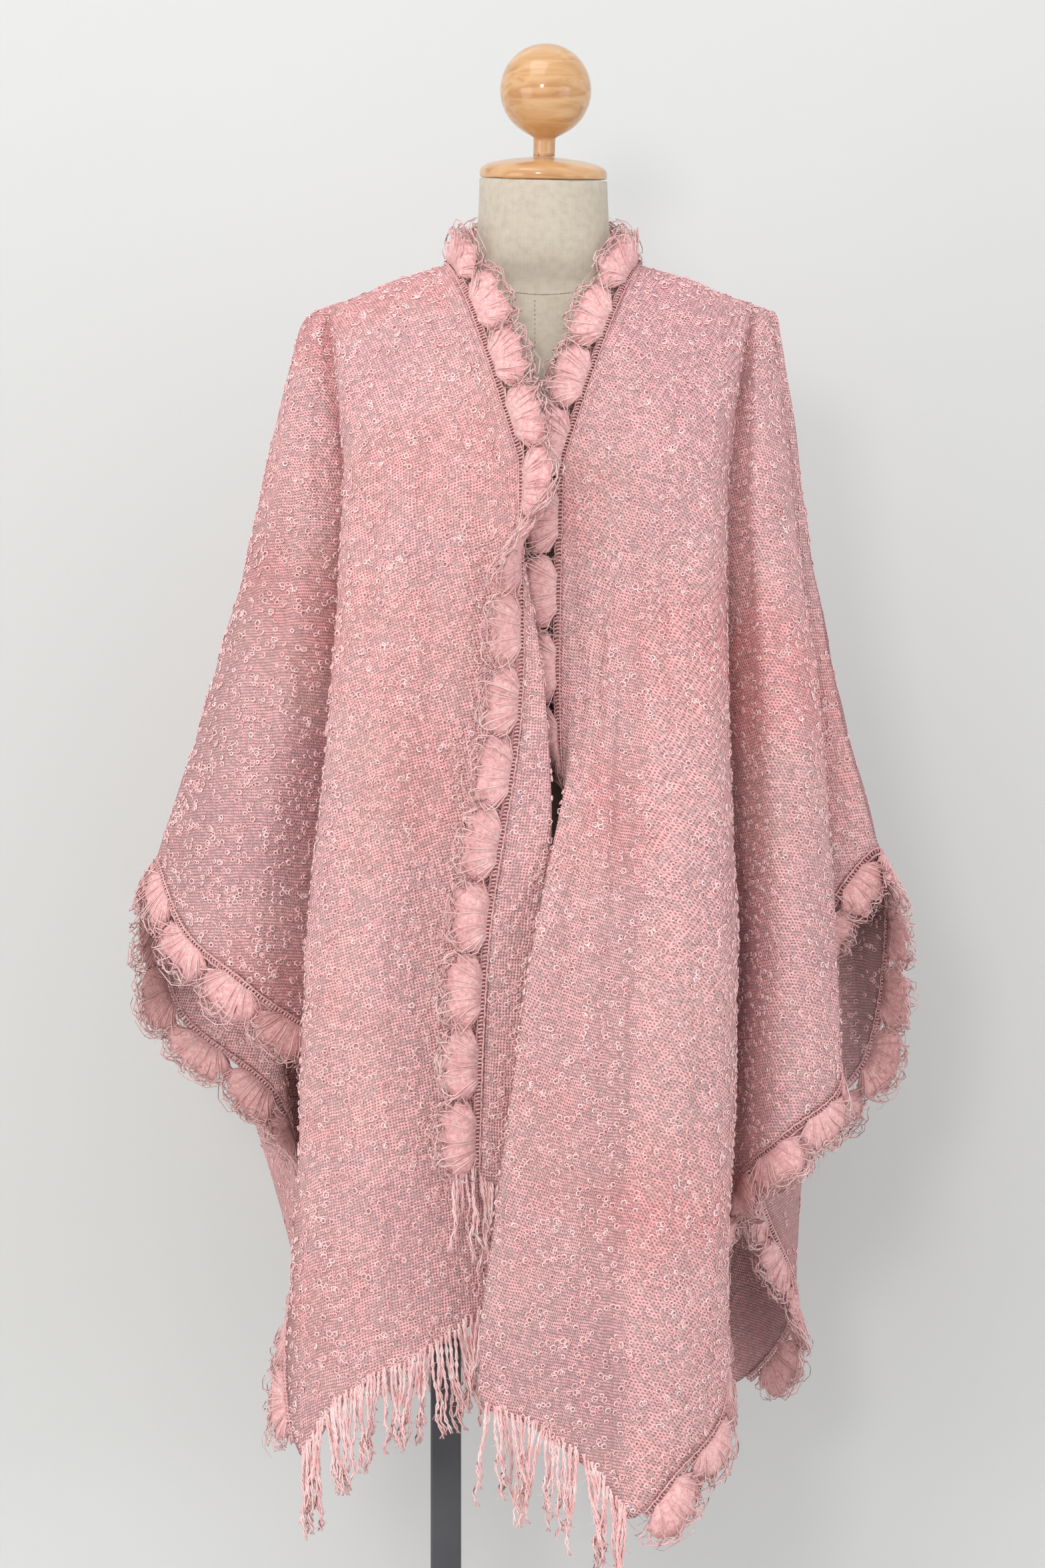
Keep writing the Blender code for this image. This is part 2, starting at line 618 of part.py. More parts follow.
def build_poncho(collection):
    cloth = make_material("boucle_cloth", (0.74, 0.45, 0.45), 0.95)
    mohair = make_material("mohair_edging", (0.87, 0.52, 0.50), 0.95)
    yarn = make_material("fringe_yarn", (0.80, 0.50, 0.48), 0.95)
    left_wing = len(FRONT_LEFT_FOLDS)
    right_wing = left_wing + len(BACK_FOLDS) + 1
    last = right_wing + len(FRONT_RIGHT_FOLDS)
    left = panel_grid(0, left_wing, FOLD_STEPS, False, True, SHOULDER_GAP)
    back = panel_grid(left_wing, right_wing, BACK_STEPS, True, True, SHOULDER_GAP)
    right = panel_grid(right_wing, last, FOLD_STEPS, True, False, SHOULDER_GAP)
    add_panel("front_left", left, cloth, collection)
    add_panel("back", back, cloth, collection)
    add_panel("front_right", right, cloth, collection)
    names_left = [fold.name for fold in FRONT_LEFT_FOLDS]
    names_back = [WING_EDGE_LEFT.name] + [fold.name for fold in BACK_FOLDS]
    names_right = [WING_EDGE_RIGHT.name] + [fold.name for fold in FRONT_RIGHT_FOLDS]
    ridge = names_left.index("ridge")
    corner_left = names_back.index("corner_left")
    corner_right = names_back.index("corner_right")
    corner = names_right.index("corner")
    turn = names_right.index("turn")

    margins = (NECK_END_MARGIN, SHELL_END_MARGIN)
    path = raise_collar(border_path(edge_of(left, "first")), COLLAR_LOW_Z, COLLAR_HIGH_Z)
    add_edging("edging_front_left", path, mohair, collection, *margins)
    path = raise_collar(border_path(edge_of(right, "last")), COLLAR_LOW_Z, COLLAR_HIGH_Z)
    add_edging("edging_front_right", path, mohair, collection, *margins)
    neck = [pair for pair in edge_of(back, "top") if abs(pair[0].x) < NECK_RADIUS_X]
    path = raise_collar(border_path(neck), NECK_COLLAR_LOW_Z, NECK_COLLAR_HIGH_Z)
    add_edging("edging_neck", path, mohair, collection, 0.0, 0.0)

    border = border_slice(left, ridge, left_wing, FOLD_STEPS)
    border += border_slice(back, 0, corner_left, BACK_STEPS)
    margins = (SIDE_END_MARGIN, SIDE_END_MARGIN)
    add_edging("edging_side_left", border_path(border), mohair, collection, *margins)
    border = border_slice(back, corner_right, len(names_back), BACK_STEPS)
    border += border_slice(right, 0, corner, FOLD_STEPS)
    add_edging("edging_side_right", border_path(border), mohair, collection, *margins)

    flap = border_path(border_slice(left, 0, 1, FOLD_STEPS), 1)
    add_fringe("fringe_flap", flap, STRAND_PITCH, 2, yarn, collection, FLAP_MARGINS)
    hem = border_path(border_slice(left, 1, ridge, FOLD_STEPS))
    add_fringe("fringe_front_left", hem, STRAND_PITCH, 2, yarn, collection, LEFT_HEM_MARGINS)
    hem = border_path(border_slice(right, corner, turn, FOLD_STEPS))
    add_fringe("fringe_front_right", hem, STRAND_PITCH, 2, yarn, collection, HEM_MARGINS)
    hem = border_path(border_slice(back, corner_left, corner_right, BACK_STEPS))
    add_fringe("fringe_back", hem, BACK_STRAND_PITCH, 1, yarn, collection, HEM_MARGINS)


def main():
    clear_scene()
    collection = bpy.data.collections.new("boucle_poncho")
    bpy.context.scene.collection.children.link(collection)
    build_form(collection)
    build_poncho(collection)


main()
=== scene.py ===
import math

import bpy
import numpy as np
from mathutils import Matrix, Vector


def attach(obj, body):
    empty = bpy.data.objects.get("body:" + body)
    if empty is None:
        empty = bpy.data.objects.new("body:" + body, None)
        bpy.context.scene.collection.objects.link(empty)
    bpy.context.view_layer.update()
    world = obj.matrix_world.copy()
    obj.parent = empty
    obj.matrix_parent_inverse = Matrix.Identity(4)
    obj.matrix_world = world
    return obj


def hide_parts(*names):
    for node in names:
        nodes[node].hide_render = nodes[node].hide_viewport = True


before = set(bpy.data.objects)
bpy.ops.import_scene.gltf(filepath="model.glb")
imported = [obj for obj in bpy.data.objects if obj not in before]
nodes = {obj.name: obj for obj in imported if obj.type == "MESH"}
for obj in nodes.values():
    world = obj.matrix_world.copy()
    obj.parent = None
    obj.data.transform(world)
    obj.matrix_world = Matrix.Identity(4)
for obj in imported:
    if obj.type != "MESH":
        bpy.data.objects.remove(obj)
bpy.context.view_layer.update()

# The studio: a plain pale paper sweep, floor and wall in one, a soft key lamp from the front left
# with three wider ones round it, and a camera level with the middle of the poncho, three metres
# in front of it.
CAMERA_HEIGHT = 0.936
CAMERA_SIDE = -0.018
CAMERA_DISTANCE = 3.0
FRAME_HEIGHT = 1.352
WALL_BEHIND = 0.50
SWEEP_RADIUS = 0.29
SWEEP_STEPS = 12
STAGE_HALF_WIDTH = 6.0
STAGE_FRONT = -7.0
STAGE_TOP = 4.0
STAGE_DROP = 0.001


def linear(hex_color):
    """An sRGB hex colour as the linear numbers that a shader takes."""
    shares = [int(hex_color[i : i + 2], 16) / 255.0 for i in (1, 3, 5)]
    return [s / 12.92 if s <= 0.04045 else ((s + 0.055) / 1.055) ** 2.4 for s in shares] + [1.0]


def add_node(material, kind, settings=None, links=None):
    """One shader node with its settings, by property or input name, and its input links."""
    node = material.node_tree.nodes.new(kind)
    for name, value in (settings or {}).items():
        if isinstance(name, str) and hasattr(node, name):
            setattr(node, name, value)
        else:
            node.inputs[name].default_value = value
    for name, source in (links or {}).items():
        material.node_tree.links.new(source, node.inputs[name])
    return node


def new_material(name, settings):
    """A material with these constants on its Principled shader."""
    material = bpy.data.materials.new(name)
    material.use_nodes = True
    for socket, value in settings.items():
        shader_of(material).inputs[socket].default_value = value
    return material


def shader_of(material):
    return material.node_tree.nodes["Principled BSDF"]


def wire(material, source, target):
    material.node_tree.links.new(source, target)


def add_colors(material, value, stops):
    """A colour ramp over a value, with stops as (place, hex colour): its colour output."""
    ramp = add_node(material, "ShaderNodeValToRGB", {}, {"Fac": value})
    elements = ramp.color_ramp.elements
    while len(elements) < len(stops):
        elements.new(1.0)
    for element, (place, color) in zip(elements, stops):
        element.position = place
        element.color = linear(color)
    return ramp.outputs["Color"]


def color_shader(material, value, stops):
    color = add_colors(material, value, stops)
    wire(material, color, shader_of(material).inputs["Base Color"])


def add_math(material, operation, *operands):
    """A Math node's output. An operand is a number or another node's output."""
    node = add_node(material, "ShaderNodeMath", {"operation": operation})
    for socket, operand in zip(node.inputs, operands):
        if isinstance(operand, float):
            socket.default_value = operand
        else:
            wire(material, operand, socket)
    return node.outputs["Value"]


def add_noise(material, source, **settings):
    """A noise texture over these coordinates: its value output."""
    return add_node(material, "ShaderNodeTexNoise", settings, {"Vector": source}).outputs["Fac"]


def add_bump(material, height, strength, distance):
    settings = {"Strength": strength, "Distance": distance}
    bump = add_node(material, "ShaderNodeBump", settings, {"Height": height})
    wire(material, bump.outputs["Normal"], shader_of(material).inputs["Normal"])


def object_place(material):
    return add_node(material, "ShaderNodeTexCoord").outputs["Object"]


bpy.ops.object.select_all(action="DESELECT")
bpy.ops.mesh.primitive_plane_add(size=1.0)
stage = bpy.context.active_object
stage.name = "studio_sweep"
sweep_start = WALL_BEHIND - SWEEP_RADIUS
stage_profile = [(STAGE_FRONT, 0.0), (sweep_start, 0.0)]
for step in range(1, SWEEP_STEPS + 1):
    angle = math.radians(90.0 / SWEEP_STEPS * step)
    deep = sweep_start + SWEEP_RADIUS * math.sin(angle)
    stage_profile.append((deep, SWEEP_RADIUS - SWEEP_RADIUS * math.cos(angle)))
stage_profile.append((WALL_BEHIND, STAGE_TOP))
stage_points = []
stage_faces = []
for index, (deep, high) in enumerate(stage_profile):
    for side in (-STAGE_HALF_WIDTH, STAGE_HALF_WIDTH):
        stage_points.append((side, deep, high - STAGE_DROP))
    if index:
        low = index * 2
        stage_faces.append((low - 2, low - 1, low + 1, low))
stage.data.clear_geometry()
stage.location = (0.0, 0.0, 0.0)
stage.data.from_pydata(stage_points, [], stage_faces)
bpy.ops.object.shade_smooth()

# Matt pale grey paper: no pattern, only a soft diffuse surface. Its back lets the view through,
# so that the poncho's back can be looked at from behind the sweep.
paper_settings = {"Roughness": 0.95, "Base Color": linear("#d5d6d4")}
paper = new_material("matt_backdrop_paper", paper_settings)
paper_side = add_node(paper, "ShaderNodeNewGeometry")
paper_clear = add_node(paper, "ShaderNodeBsdfTransparent")
paper_mix = add_node(
    paper,
    "ShaderNodeMixShader",
    {},
    {
        0: paper_side.outputs["Backfacing"],
        1: shader_of(paper).outputs["BSDF"],
        2: paper_clear.outputs["BSDF"],
    },
)
paper_surface = paper.node_tree.nodes["Material Output"].inputs["Surface"]
wire(paper, paper_mix.outputs["Shader"], paper_surface)
stage.data.materials.append(paper)

bpy.context.scene.view_settings.view_transform = "Standard"
world = bpy.data.worlds.new("pale_room")
bpy.context.scene.world = world
world.use_nodes = True
room_light = world.node_tree.nodes["Background"]
room_light.inputs["Color"].default_value = linear("#f4f6f8")
room_light.inputs["Strength"].default_value = 0.98


def add_lamp(name, location, target, width, power, color):
    lamp = bpy.data.lights.new(name, "AREA")
    lamp.size = width
    lamp.energy = power
    lamp.color = linear(color)[:3]
    holder = bpy.data.objects.new(name, lamp)
    bpy.context.collection.objects.link(holder)
    holder.location = location
    aim = Vector(target) - Vector(location)
    holder.rotation_euler = aim.to_track_quat("-Z", "Y").to_euler()


# Name, where it is, what it is turned to, width in metres, power in watts, colour.
add_lamp("key_lamp", (-0.62, -3.7, 1.55), (0.0, 0.0, 1.0), 0.45, 21.0, "#fffaf6")
add_lamp("fill_lamp", (2.8, -2.4, 0.7), (0.0, 0.0, 0.8), 1.8, 18.0, "#fafaff")
add_lamp("low_lamp", (-2.8, -2.2, 0.6), (0.0, 0.0, 0.8), 1.8, 25.0, "#fffaf8")
add_lamp("top_lamp", (-0.6, -1.4, 3.0), (0.0, 0.0, 1.1), 1.4, 16.0, "#ffffff")

camera_data = bpy.data.cameras.new("camera")
camera = bpy.data.objects.new("camera", camera_data)
bpy.context.collection.objects.link(camera)
camera.location = (CAMERA_SIDE, -CAMERA_DISTANCE, CAMERA_HEIGHT)
camera.rotation_euler = (math.radians(90.0), 0.0, 0.0)
camera_data.sensor_fit = "VERTICAL"
camera_data.angle = 2.0 * math.atan(FRAME_HEIGHT / 2.0 / CAMERA_DISTANCE)
bpy.context.scene.camera = camera

# The stand: a square steel post on a flat steel base plate, powder-coated black. The coat is
# satin and slightly uneven, and shows fine dust where the light grazes it.
black = new_material("black_powder_coat", {"Roughness": 0.42, "IOR": 1.5})
coat_place = object_place(black)
coat_cloud = add_noise(black, coat_place, Scale=14.0, Detail=5.0)
color_shader(black, coat_cloud, [(0.3, "#434348"), (0.7, "#535358")])
coat_grain = add_noise(black, coat_place, Scale=900.0, Detail=2.0)
add_bump(black, coat_grain, 0.25, 0.0003)
for name in ("post", "base"):
    nodes[name].data.materials.clear()
    nodes[name].data.materials.append(black)

# The dress form: a padded torso under a tight cover of unbleached linen, plain woven, with a
# seam round the foot of the neck and one of small stitches down the middle of the front.
LINEN_THREAD = 0.0011
FORM_TOP_Z = 1.44
FORM_FOOT_Z = 0.6205


def select_only(*pieces):
    """Selects these pieces and makes the last one the active one."""
    bpy.ops.object.select_all(action="DESELECT")
    for piece in pieces:
        piece.select_set(True)
    bpy.context.view_layer.objects.active = pieces[-1]


def copy_node(name, piece_name):
    """A copy of a CAD node's mesh, its loose triangles merged, as a new piece."""
    piece = nodes[name].copy()
    piece.data = nodes[name].data.copy()
    piece.parent = None
    for key in list(piece.keys()):
        del piece[key]
    piece.name = piece_name
    piece.data.name = piece_name
    bpy.context.collection.objects.link(piece)
    select_only(piece)
    bpy.ops.object.mode_set(mode="EDIT")
    bpy.ops.mesh.select_all(action="SELECT")
    bpy.ops.mesh.remove_doubles(threshold=0.00002)
    bpy.ops.mesh.tris_convert_to_quads(face_threshold=0.9, shape_threshold=0.9)
    bpy.ops.object.mode_set(mode="OBJECT")
    return piece


def apply_modifiers(piece):
    select_only(piece)
    for modifier in list(piece.modifiers):
        bpy.ops.object.modifier_apply(modifier=modifier.name)


def subdivide_piece(piece, levels):
    subdivision = piece.modifiers.new("Smooth", "SUBSURF")
    subdivision.levels = levels
    subdivision.render_levels = levels
    apply_modifiers(piece)
    piece.data.shade_smooth()


def finish_piece(piece, material, replaced=()):
    piece.data.materials.clear()
    piece.data.materials.append(material)
    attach(piece, "root")
    if replaced:
        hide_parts(*replaced)


linen = new_material(
    "unbleached_linen_plain_weave",
    {"Roughness": 0.85, "Sheen Weight": 0.15, "Sheen Roughness": 0.5},
)
linen_place = object_place(linen)
linen_waves = []
for way in ("X", "Z"):
    bands = {"bands_direction": way, "Scale": 0.5 / LINEN_THREAD, "Distortion": 0.6}
    wave = add_node(linen, "ShaderNodeTexWave", bands, {"Vector": linen_place})
    linen_waves.append(wave.outputs["Fac"])
linen_cross = add_math(linen, "MULTIPLY", *linen_waves)
linen_slub = add_noise(linen, linen_place, Scale=160.0, Detail=6.0)
linen_height = add_math(linen, "ADD", linen_cross, linen_slub)
linen_tones = [(0.25, "#aa9f8d"), (0.55, "#bfb3a1"), (1.0, "#cec4b3")]
color_shader(linen, linen_height, linen_tones)
add_bump(linen, linen_height, 0.35, 0.0004)

torso = copy_node("form_torso", "linen_torso")
crease = torso.data.attributes.new("crease_edge", "FLOAT", "EDGE")
for edge in torso.data.edges:
    heights = [torso.data.vertices[corner].co.z for corner in edge.vertices]
    at_end = min(heights) > FORM_TOP_Z or max(heights) < FORM_FOOT_Z
    crease.data[edge.index].value = 0.9 if at_end else 0.0
subdivide_piece(torso, 2)
finish_piece(torso, linen, ["form_torso"])


def torso_front(x, z):
    """How far forward the form's surface lies at this place, with its normal."""
    hit, place, normal, _ = torso.ray_cast(Vector((x, -0.5, z)), Vector((0.0, 1.0, 0.0)))
    if hit:
        return place, normal
    return Vector((x, -0.1, z)), Vector((0.0, -1.0, 0.0))


def add_tubes(name, paths, radii, sides):
    """Many thin tubes as one mesh. A path is an array of points, with a radius for each."""
    all_points = []
    all_faces = []
    base = 0
    for path, radius in zip(paths, radii):
        path = np.asarray(path, float)
        count = len(path)
        radius = np.broadcast_to(np.asarray(radius, float), (count,))
        along = np.gradient(path, axis=0)
        along /= np.linalg.norm(along, axis=1)[:, None] + 1e-12
        guide = np.array([0.31, 0.22, 0.92])
        if abs(along.mean(axis=0) @ guide) > 0.9:
            guide = np.array([0.92, 0.31, 0.22])
        side = np.cross(along, guide)
        side /= np.linalg.norm(side, axis=1)[:, None] + 1e-12
        up = np.cross(side, along)
        turns = np.arange(sides) * 2.0 * math.pi / sides
        ring = (
            side[:, None, :] * np.cos(turns)[None, :, None]
            + up[:, None, :] * np.sin(turns)[None, :, None]
        )
        all_points.append((path[:, None, :] + ring * radius[:, None, None]).reshape(-1, 3))
        corner = np.arange(count - 1)[:, None] * sides
        first = (corner + np.arange(sides)).ravel()
        after = (corner + (np.arange(sides) + 1) % sides).ravel()
        wrap = count * sides
        all_faces.append(np.stack([first, after, after + sides, first + sides], axis=1) + base)
        ends = np.array([list(range(sides))[::-1], list(range(wrap - sides, wrap))]) + base
        if sides == 4:
            all_faces.append(ends)
        else:
            fan = [[e[0], e[i], e[i + 1], e[i + 1]] for e in ends for i in range(1, sides - 1)]
            all_faces.append(np.array(fan))
        base += wrap
    return add_faces(name, np.concatenate(all_points), np.concatenate(all_faces))


def add_faces(name, points, faces):
    """A mesh object from arrays. A face whose last corner repeats is a triangle."""
    mesh = bpy.data.meshes.new(name)
    sizes = np.where(faces[:, 2] == faces[:, 3], 3, 4)
    kept = np.stack([np.ones_like(sizes)] * 3 + [sizes == 4], axis=1).astype(bool)
    corners = faces.ravel()[kept.ravel()]
    mesh.vertices.add(len(points))
    mesh.vertices.foreach_set("co", points.astype(np.float32).ravel())
    mesh.loops.add(len(corners))
    mesh.loops.foreach_set("vertex_index", corners.astype(np.int32))
    mesh.polygons.add(len(sizes))
    starts = np.concatenate([[0], np.cumsum(sizes)[:-1]])
    mesh.polygons.foreach_set("loop_start", starts.astype(np.int32))
    mesh.update(calc_edges=True)
    mesh.validate()
    mesh.shade_smooth()
    piece = bpy.data.objects.new(name, mesh)
    bpy.context.collection.objects.link(piece)
    return piece


# The form's stitches: short runs of waxed cotton thread, sewn down the middle of the front and
# round the foot of the neck. They show as small dots in a row.
FRONT_SEAM_X = -0.0075
FRONT_SEAM_TOP = 1.346
FRONT_STITCH_STEP = 0.0042
FRONT_STITCHES = 34
NECK_SEAM_LOW = 1.352
NECK_SEAM_RISE = 0.010
NECK_SEAM_HALF_WIDTH = 0.055
NECK_STITCH_STEP = 0.0024
NECK_STITCHES = 22
THREAD_RADIUS = 0.00035
THREAD_LIFT = 0.0004
stitches = []


def add_stitch(x, z, half):
    """One stitch on the form's front, as a path of three points that bows outward."""
    place, normal = torso_front(x, z)
    middle = place + normal * 0.0001
    stitches.append([middle + half, middle + normal * THREAD_LIFT, middle - half])


for step in range(FRONT_STITCHES):
    add_stitch(FRONT_SEAM_X, FRONT_SEAM_TOP - step * FRONT_STITCH_STEP, Vector((0, 0, 0.0009)))
for step in range(-NECK_STITCHES, NECK_STITCHES + 1):
    x = step * NECK_STITCH_STEP
    z = NECK_SEAM_LOW + NECK_SEAM_RISE * (x / NECK_SEAM_HALF_WIDTH) ** 2
    add_stitch(x, z, Vector((0.0008, 0, 0)))
cotton = new_material("waxed_cotton_thread", {"Roughness": 0.7})
cotton_cloud = add_noise(cotton, object_place(cotton), Scale=300.0)
color_shader(cotton, cotton_cloud, [(0.3, "#8f8672"), (0.7, "#b5ab96")])
seam = add_tubes("form_stitches", stitches, [THREAD_RADIUS] * len(stitches), 4)
finish_piece(seam, cotton)

# The cap and the ball: turned beech under a thick clear varnish. The grain runs across the cap
# and shows as fine darker streaks, and the varnish gives a sharp gloss over warm wood.
wood = new_material(
    "varnished_beech",
    {"Roughness": 0.32, "Coat Weight": 0.7, "Coat Roughness": 0.08, "IOR": 1.5},
)
wood_turn = add_node(
    wood,
    "ShaderNodeMapping",
    {"Scale": (6.0, 30.0, 60.0), "Rotation": (0.2, 0.35, 0.3)},
    {"Vector": object_place(wood)},
)
wood_grain = add_noise(wood, wood_turn.outputs["Vector"], Scale=1.6, Detail=7.0, Distortion=1.2)
wood_tones = [(0.3, "#b87f4a"), (0.5, "#cd9c68"), (0.72, "#d9b082")]
color_shader(wood, wood_grain, wood_tones)
add_bump(wood, wood_grain, 0.08, 0.0003)

for node_name, piece_name in (("neck_cap", "turned_cap"), ("finial", "turned_finial")):
    piece = copy_node(node_name, piece_name)
    crease = piece.data.attributes.new("crease_edge", "FLOAT", "EDGE")
    faces_of_edge = {}
    for face in piece.data.polygons:
        for key in face.edge_keys:
            faces_of_edge.setdefault(key, []).append(face.normal)
    for edge in piece.data.edges:
        normals = faces_of_edge.get(edge.key, [])
        sharp = len(normals) == 2 and normals[0].angle(normals[1], 0.0) > math.radians(50.0)
        crease.data[edge.index].value = 0.8 if sharp else 0.0
    subdivide_piece(piece, 2)
    finish_piece(piece, wood, [node_name])

# The cloth: one loose plain weave of pink yarn with a boucle yarn whose small curls stand up
# all over it, brushed soft. It is cut as two fronts and a back, and hangs in folds from the
# shoulders. A row of the table is one fold, followed from the shoulder line down to the hem.
CLOTH_WALL = 0.0016
CHEST_Z, WAIST_Z, HIP_Z, LOW_Z = 1.20, 1.00, 0.80, 0.50
SHOULDER_SHARE = 5.0 / 16.0
NECK_RADIUS = 0.085
NECK_DEPTH = 0.076
NECK_RISE = 0.014
SHOULDER_LINE = [
    (0.075, 1.388),
    (0.085, 1.382),
    (0.126, 1.370),
    (0.152, 1.358),
    (0.188, 1.346),
    (0.203, 1.338),
    (0.215, 1.320),
]
# Columns, in mm: name, shoulder x, x at chest, waist, hip and low, y there, hem height.
FRONT_LEFT_FOLDS = [
    ("edge", -85, -21, -18, -45, -55, -151, -174, -182, -184, 620),
    ("turn", -94, -30, 0, 6, 0, -146, -164, -171, -173, 575),
    ("under", -103, -46, -30, -32, -36, -130, -148, -153, -156, 515),
    ("plain", -128, -92, -92, -96, -100, -122, -148, -158, -163, 468),
    ("shade", -160, -138, -146, -158, -160, -106, -140, -156, -162, 435),
    ("ridge", -180, -166, -176, -195, -200, -84, -118, -136, -142, 385),
    ("hang", -184, -163, -168, -187, -212, -62, -78, -96, -108, 500),
    ("valley", -188, -166, -164, -170, -176, -36, -34, -38, -44, 690),
    ("wing_front", -193, -196, -216, -240, -260, -46, -74, -86, -90, 765),
    ("wing_out", -198, -224, -264, -303, -340, -34, -50, -58, -60, 812),
]
WING_EDGE_LEFT = ("wing", -203, -240, -292, -354, -420, 0, 0, 0, 0, 872)
BACK_FOLDS = [
    ("side_left", -198, -224, -270, -316, -330, 36, 58, 70, 72, 742),
    ("tuck_left", -191, -180, -200, -236, -210, 44, 52, 56, 60, 655),
    ("fold_left", -185, -192, -236, -290, -222, 86, 118, 134, 138, 490),
    ("corner_left", -174, -160, -186, -226, -200, 112, 144, 166, 170, 425),
    ("back_one", -146, -128, -146, -164, -160, 118, 130, 134, 136, 445),
    ("back_two", -106, -94, -110, -122, -124, 130, 158, 184, 194, 450),
    ("back_three", -62, -56, -66, -76, -78, 124, 132, 136, 138, 452),
    ("back_four", -20, -14, -20, -26, -30, 132, 160, 188, 198, 455),
    ("back_five", 26, 30, 30, 28, 26, 125, 133, 138, 140, 450),
    ("back_six", 68, 70, 75, 80, 78, 130, 158, 186, 196, 440),
    ("back_seven", 112, 108, 118, 126, 126, 120, 130, 134, 136, 425),
    ("corner_right", 152, 146, 164, 182, 176, 112, 144, 166, 172, 390),
    ("fold_right", 172, 182, 212, 242, 228, 86, 114, 128, 130, 470),
    ("tuck_right", 182, 172, 186, 200, 186, 44, 52, 56, 60, 600),
    ("side_right", 190, 210, 243, 278, 292, 36, 54, 66, 70, 700),
]
WING_EDGE_RIGHT = ("wing", 199, 221.5, 256, 312, 370, 0, 0, 0, 0, 880)
FRONT_RIGHT_FOLDS = [
    ("tuck_out", 194, 203, 212, 224, 230, -20, -24, -26, -28, 790),
    ("fold_out", 190, 208.5, 232, 245, 254, -44, -64, -76, -80, 690),
    ("fold_in", 186, 178, 188, 196, 196, -70, -96, -112, -118, 645),
    ("valley", 182, 158, 156, 160, 152, -50, -50, -56, -62, 585),
    ("ridge", 174, 147, 148, 155, 146, -92, -126, -150, -156, 430),
    ("swell", 150, 112, 112, 116, 104, -116, -154, -188, -196, 380),
    ("corner", 132, 85, 84, 82, 68, -118, -153, -192, -201, 345),
    ("dip", 116, 68, 62, 52, 34, -118, -150, -192, -201, 385),
    ("over", 100, 46, 48, 20, -12, -124, -150, -198, -206, 420),
    ("turn", 92, 26, 28, -10, -52, -128, -142, -205, -211, 440),
    ("edge", 85, 16, 14, 24, 0, -130, -138, -182, -188, 455),
]


def cubic(share, span, first, slope_first, last, slope_last):
    """The curve between two values with these slopes, at a share of the span."""
    square = share**2
    cube = share**3
    return (
        (2 * cube - 3 * square + 1) * first
        + (cube - 2 * square + share) * span * slope_first
        + (3 * square - 2 * cube) * last
        + (cube - square) * span * slope_last
    )


def smooth_at(knots, values, at):
    """A smooth curve through the values; at may be an array."""
    knots = np.asarray(knots, float)
    values = np.asarray(values, float)
    before = np.maximum(np.arange(len(knots)) - 1, 0)
    after = np.minimum(np.arange(len(knots)) + 1, len(knots) - 1)
    slopes = (values[after] - values[before]) / (knots[after] - knots[before])
    at = np.clip(at, knots[0], knots[-1])
    index = np.clip(np.searchsorted(knots, at) - 1, 0, len(knots) - 2)
    span = knots[index + 1] - knots[index]
    share = (at - knots[index]) / span
    after = index + 1
    return cubic(share, span, values[index], slopes[index], values[after], slopes[after])


def column_points(fold, behind, shares):
    """Points down one fold, where share goes from the shoulder line, 0, to the hem, 1."""
    measures = [millimetres / 1000.0 for millimetres in fold[1:]]
    top, chest_x, waist_x, hip_x, low_x, chest_y, waist_y, hip_y, low_y, hem = measures
    across = min(abs(top) / NECK_RADIUS, 1.0)
    if across < 1.0:
        top_z = SHOULDER_LINE[1][1] + NECK_RISE * (1.0 - across**2)
    else:
        widths, heights = zip(*SHOULDER_LINE)
        top_z = float(smooth_at(widths, heights, abs(top)))
    top_y = NECK_DEPTH * math.sqrt(1.0 - across**2) if behind else 0.0
    run = np.clip(shares / SHOULDER_SHARE, 0.0, 1.0)
    over_x = top + (chest_x - top) * (0.35 * run + 0.65 * run**2)
    over_y = top_y + (chest_y - top_y) * run
    over_z = top_z + (CHEST_Z - top_z) * run**2
    fall = np.clip((shares - SHOULDER_SHARE) / (1.0 - SHOULDER_SHARE), 0.0, 1.0)
    down_z = CHEST_Z + (hem - CHEST_Z) * fall
    levels = [-1.5, -CHEST_Z, -WAIST_Z, -HIP_Z, -LOW_Z]
    above_x = chest_x + (chest_x - waist_x) * 0.6
    down_x = smooth_at(levels, [above_x, chest_x, waist_x, hip_x, low_x], -down_z)
    down_y = smooth_at(levels, [chest_y * 0.8, chest_y, waist_y, hip_y, low_y], -down_z)
    falling = shares >= SHOULDER_SHARE
    return np.stack(
        [
            np.where(falling, down_x, over_x),
            np.where(falling, down_y, over_y),
            np.where(falling, down_z, over_z),
        ],
        axis=1,
    )


ring_folds = [(fold, False) for fold in FRONT_LEFT_FOLDS] + [(WING_EDGE_LEFT, False)]
ring_folds += [(fold, True) for fold in BACK_FOLDS] + [(WING_EDGE_RIGHT, True)]
ring_folds += [(fold, False) for fold in FRONT_RIGHT_FOLDS]
LAST_PLACE = len(ring_folds) - 1


def cloth_grid(places, shares):
    """Points of the whole cloth at these places along the folds and shares down them."""
    columns = np.stack([column_points(fold, behind, shares) for fold, behind in ring_folds], axis=1)
    grid = np.zeros((len(shares), len(places), 3))
    for row in range(len(shares)):
        steps = np.linalg.norm(np.diff(columns[row], axis=0), axis=1)
        along = np.concatenate([[0.0], np.cumsum(np.maximum(steps, 0.002) ** 0.7)])
        index = np.minimum(places.astype(int), LAST_PLACE - 1)
        at = along[index] + (places - index) * (along[index + 1] - along[index])
        for axis in range(3):
            grid[row, :, axis] = local_curve(along, columns[row, :, axis], index, at)
    return grid


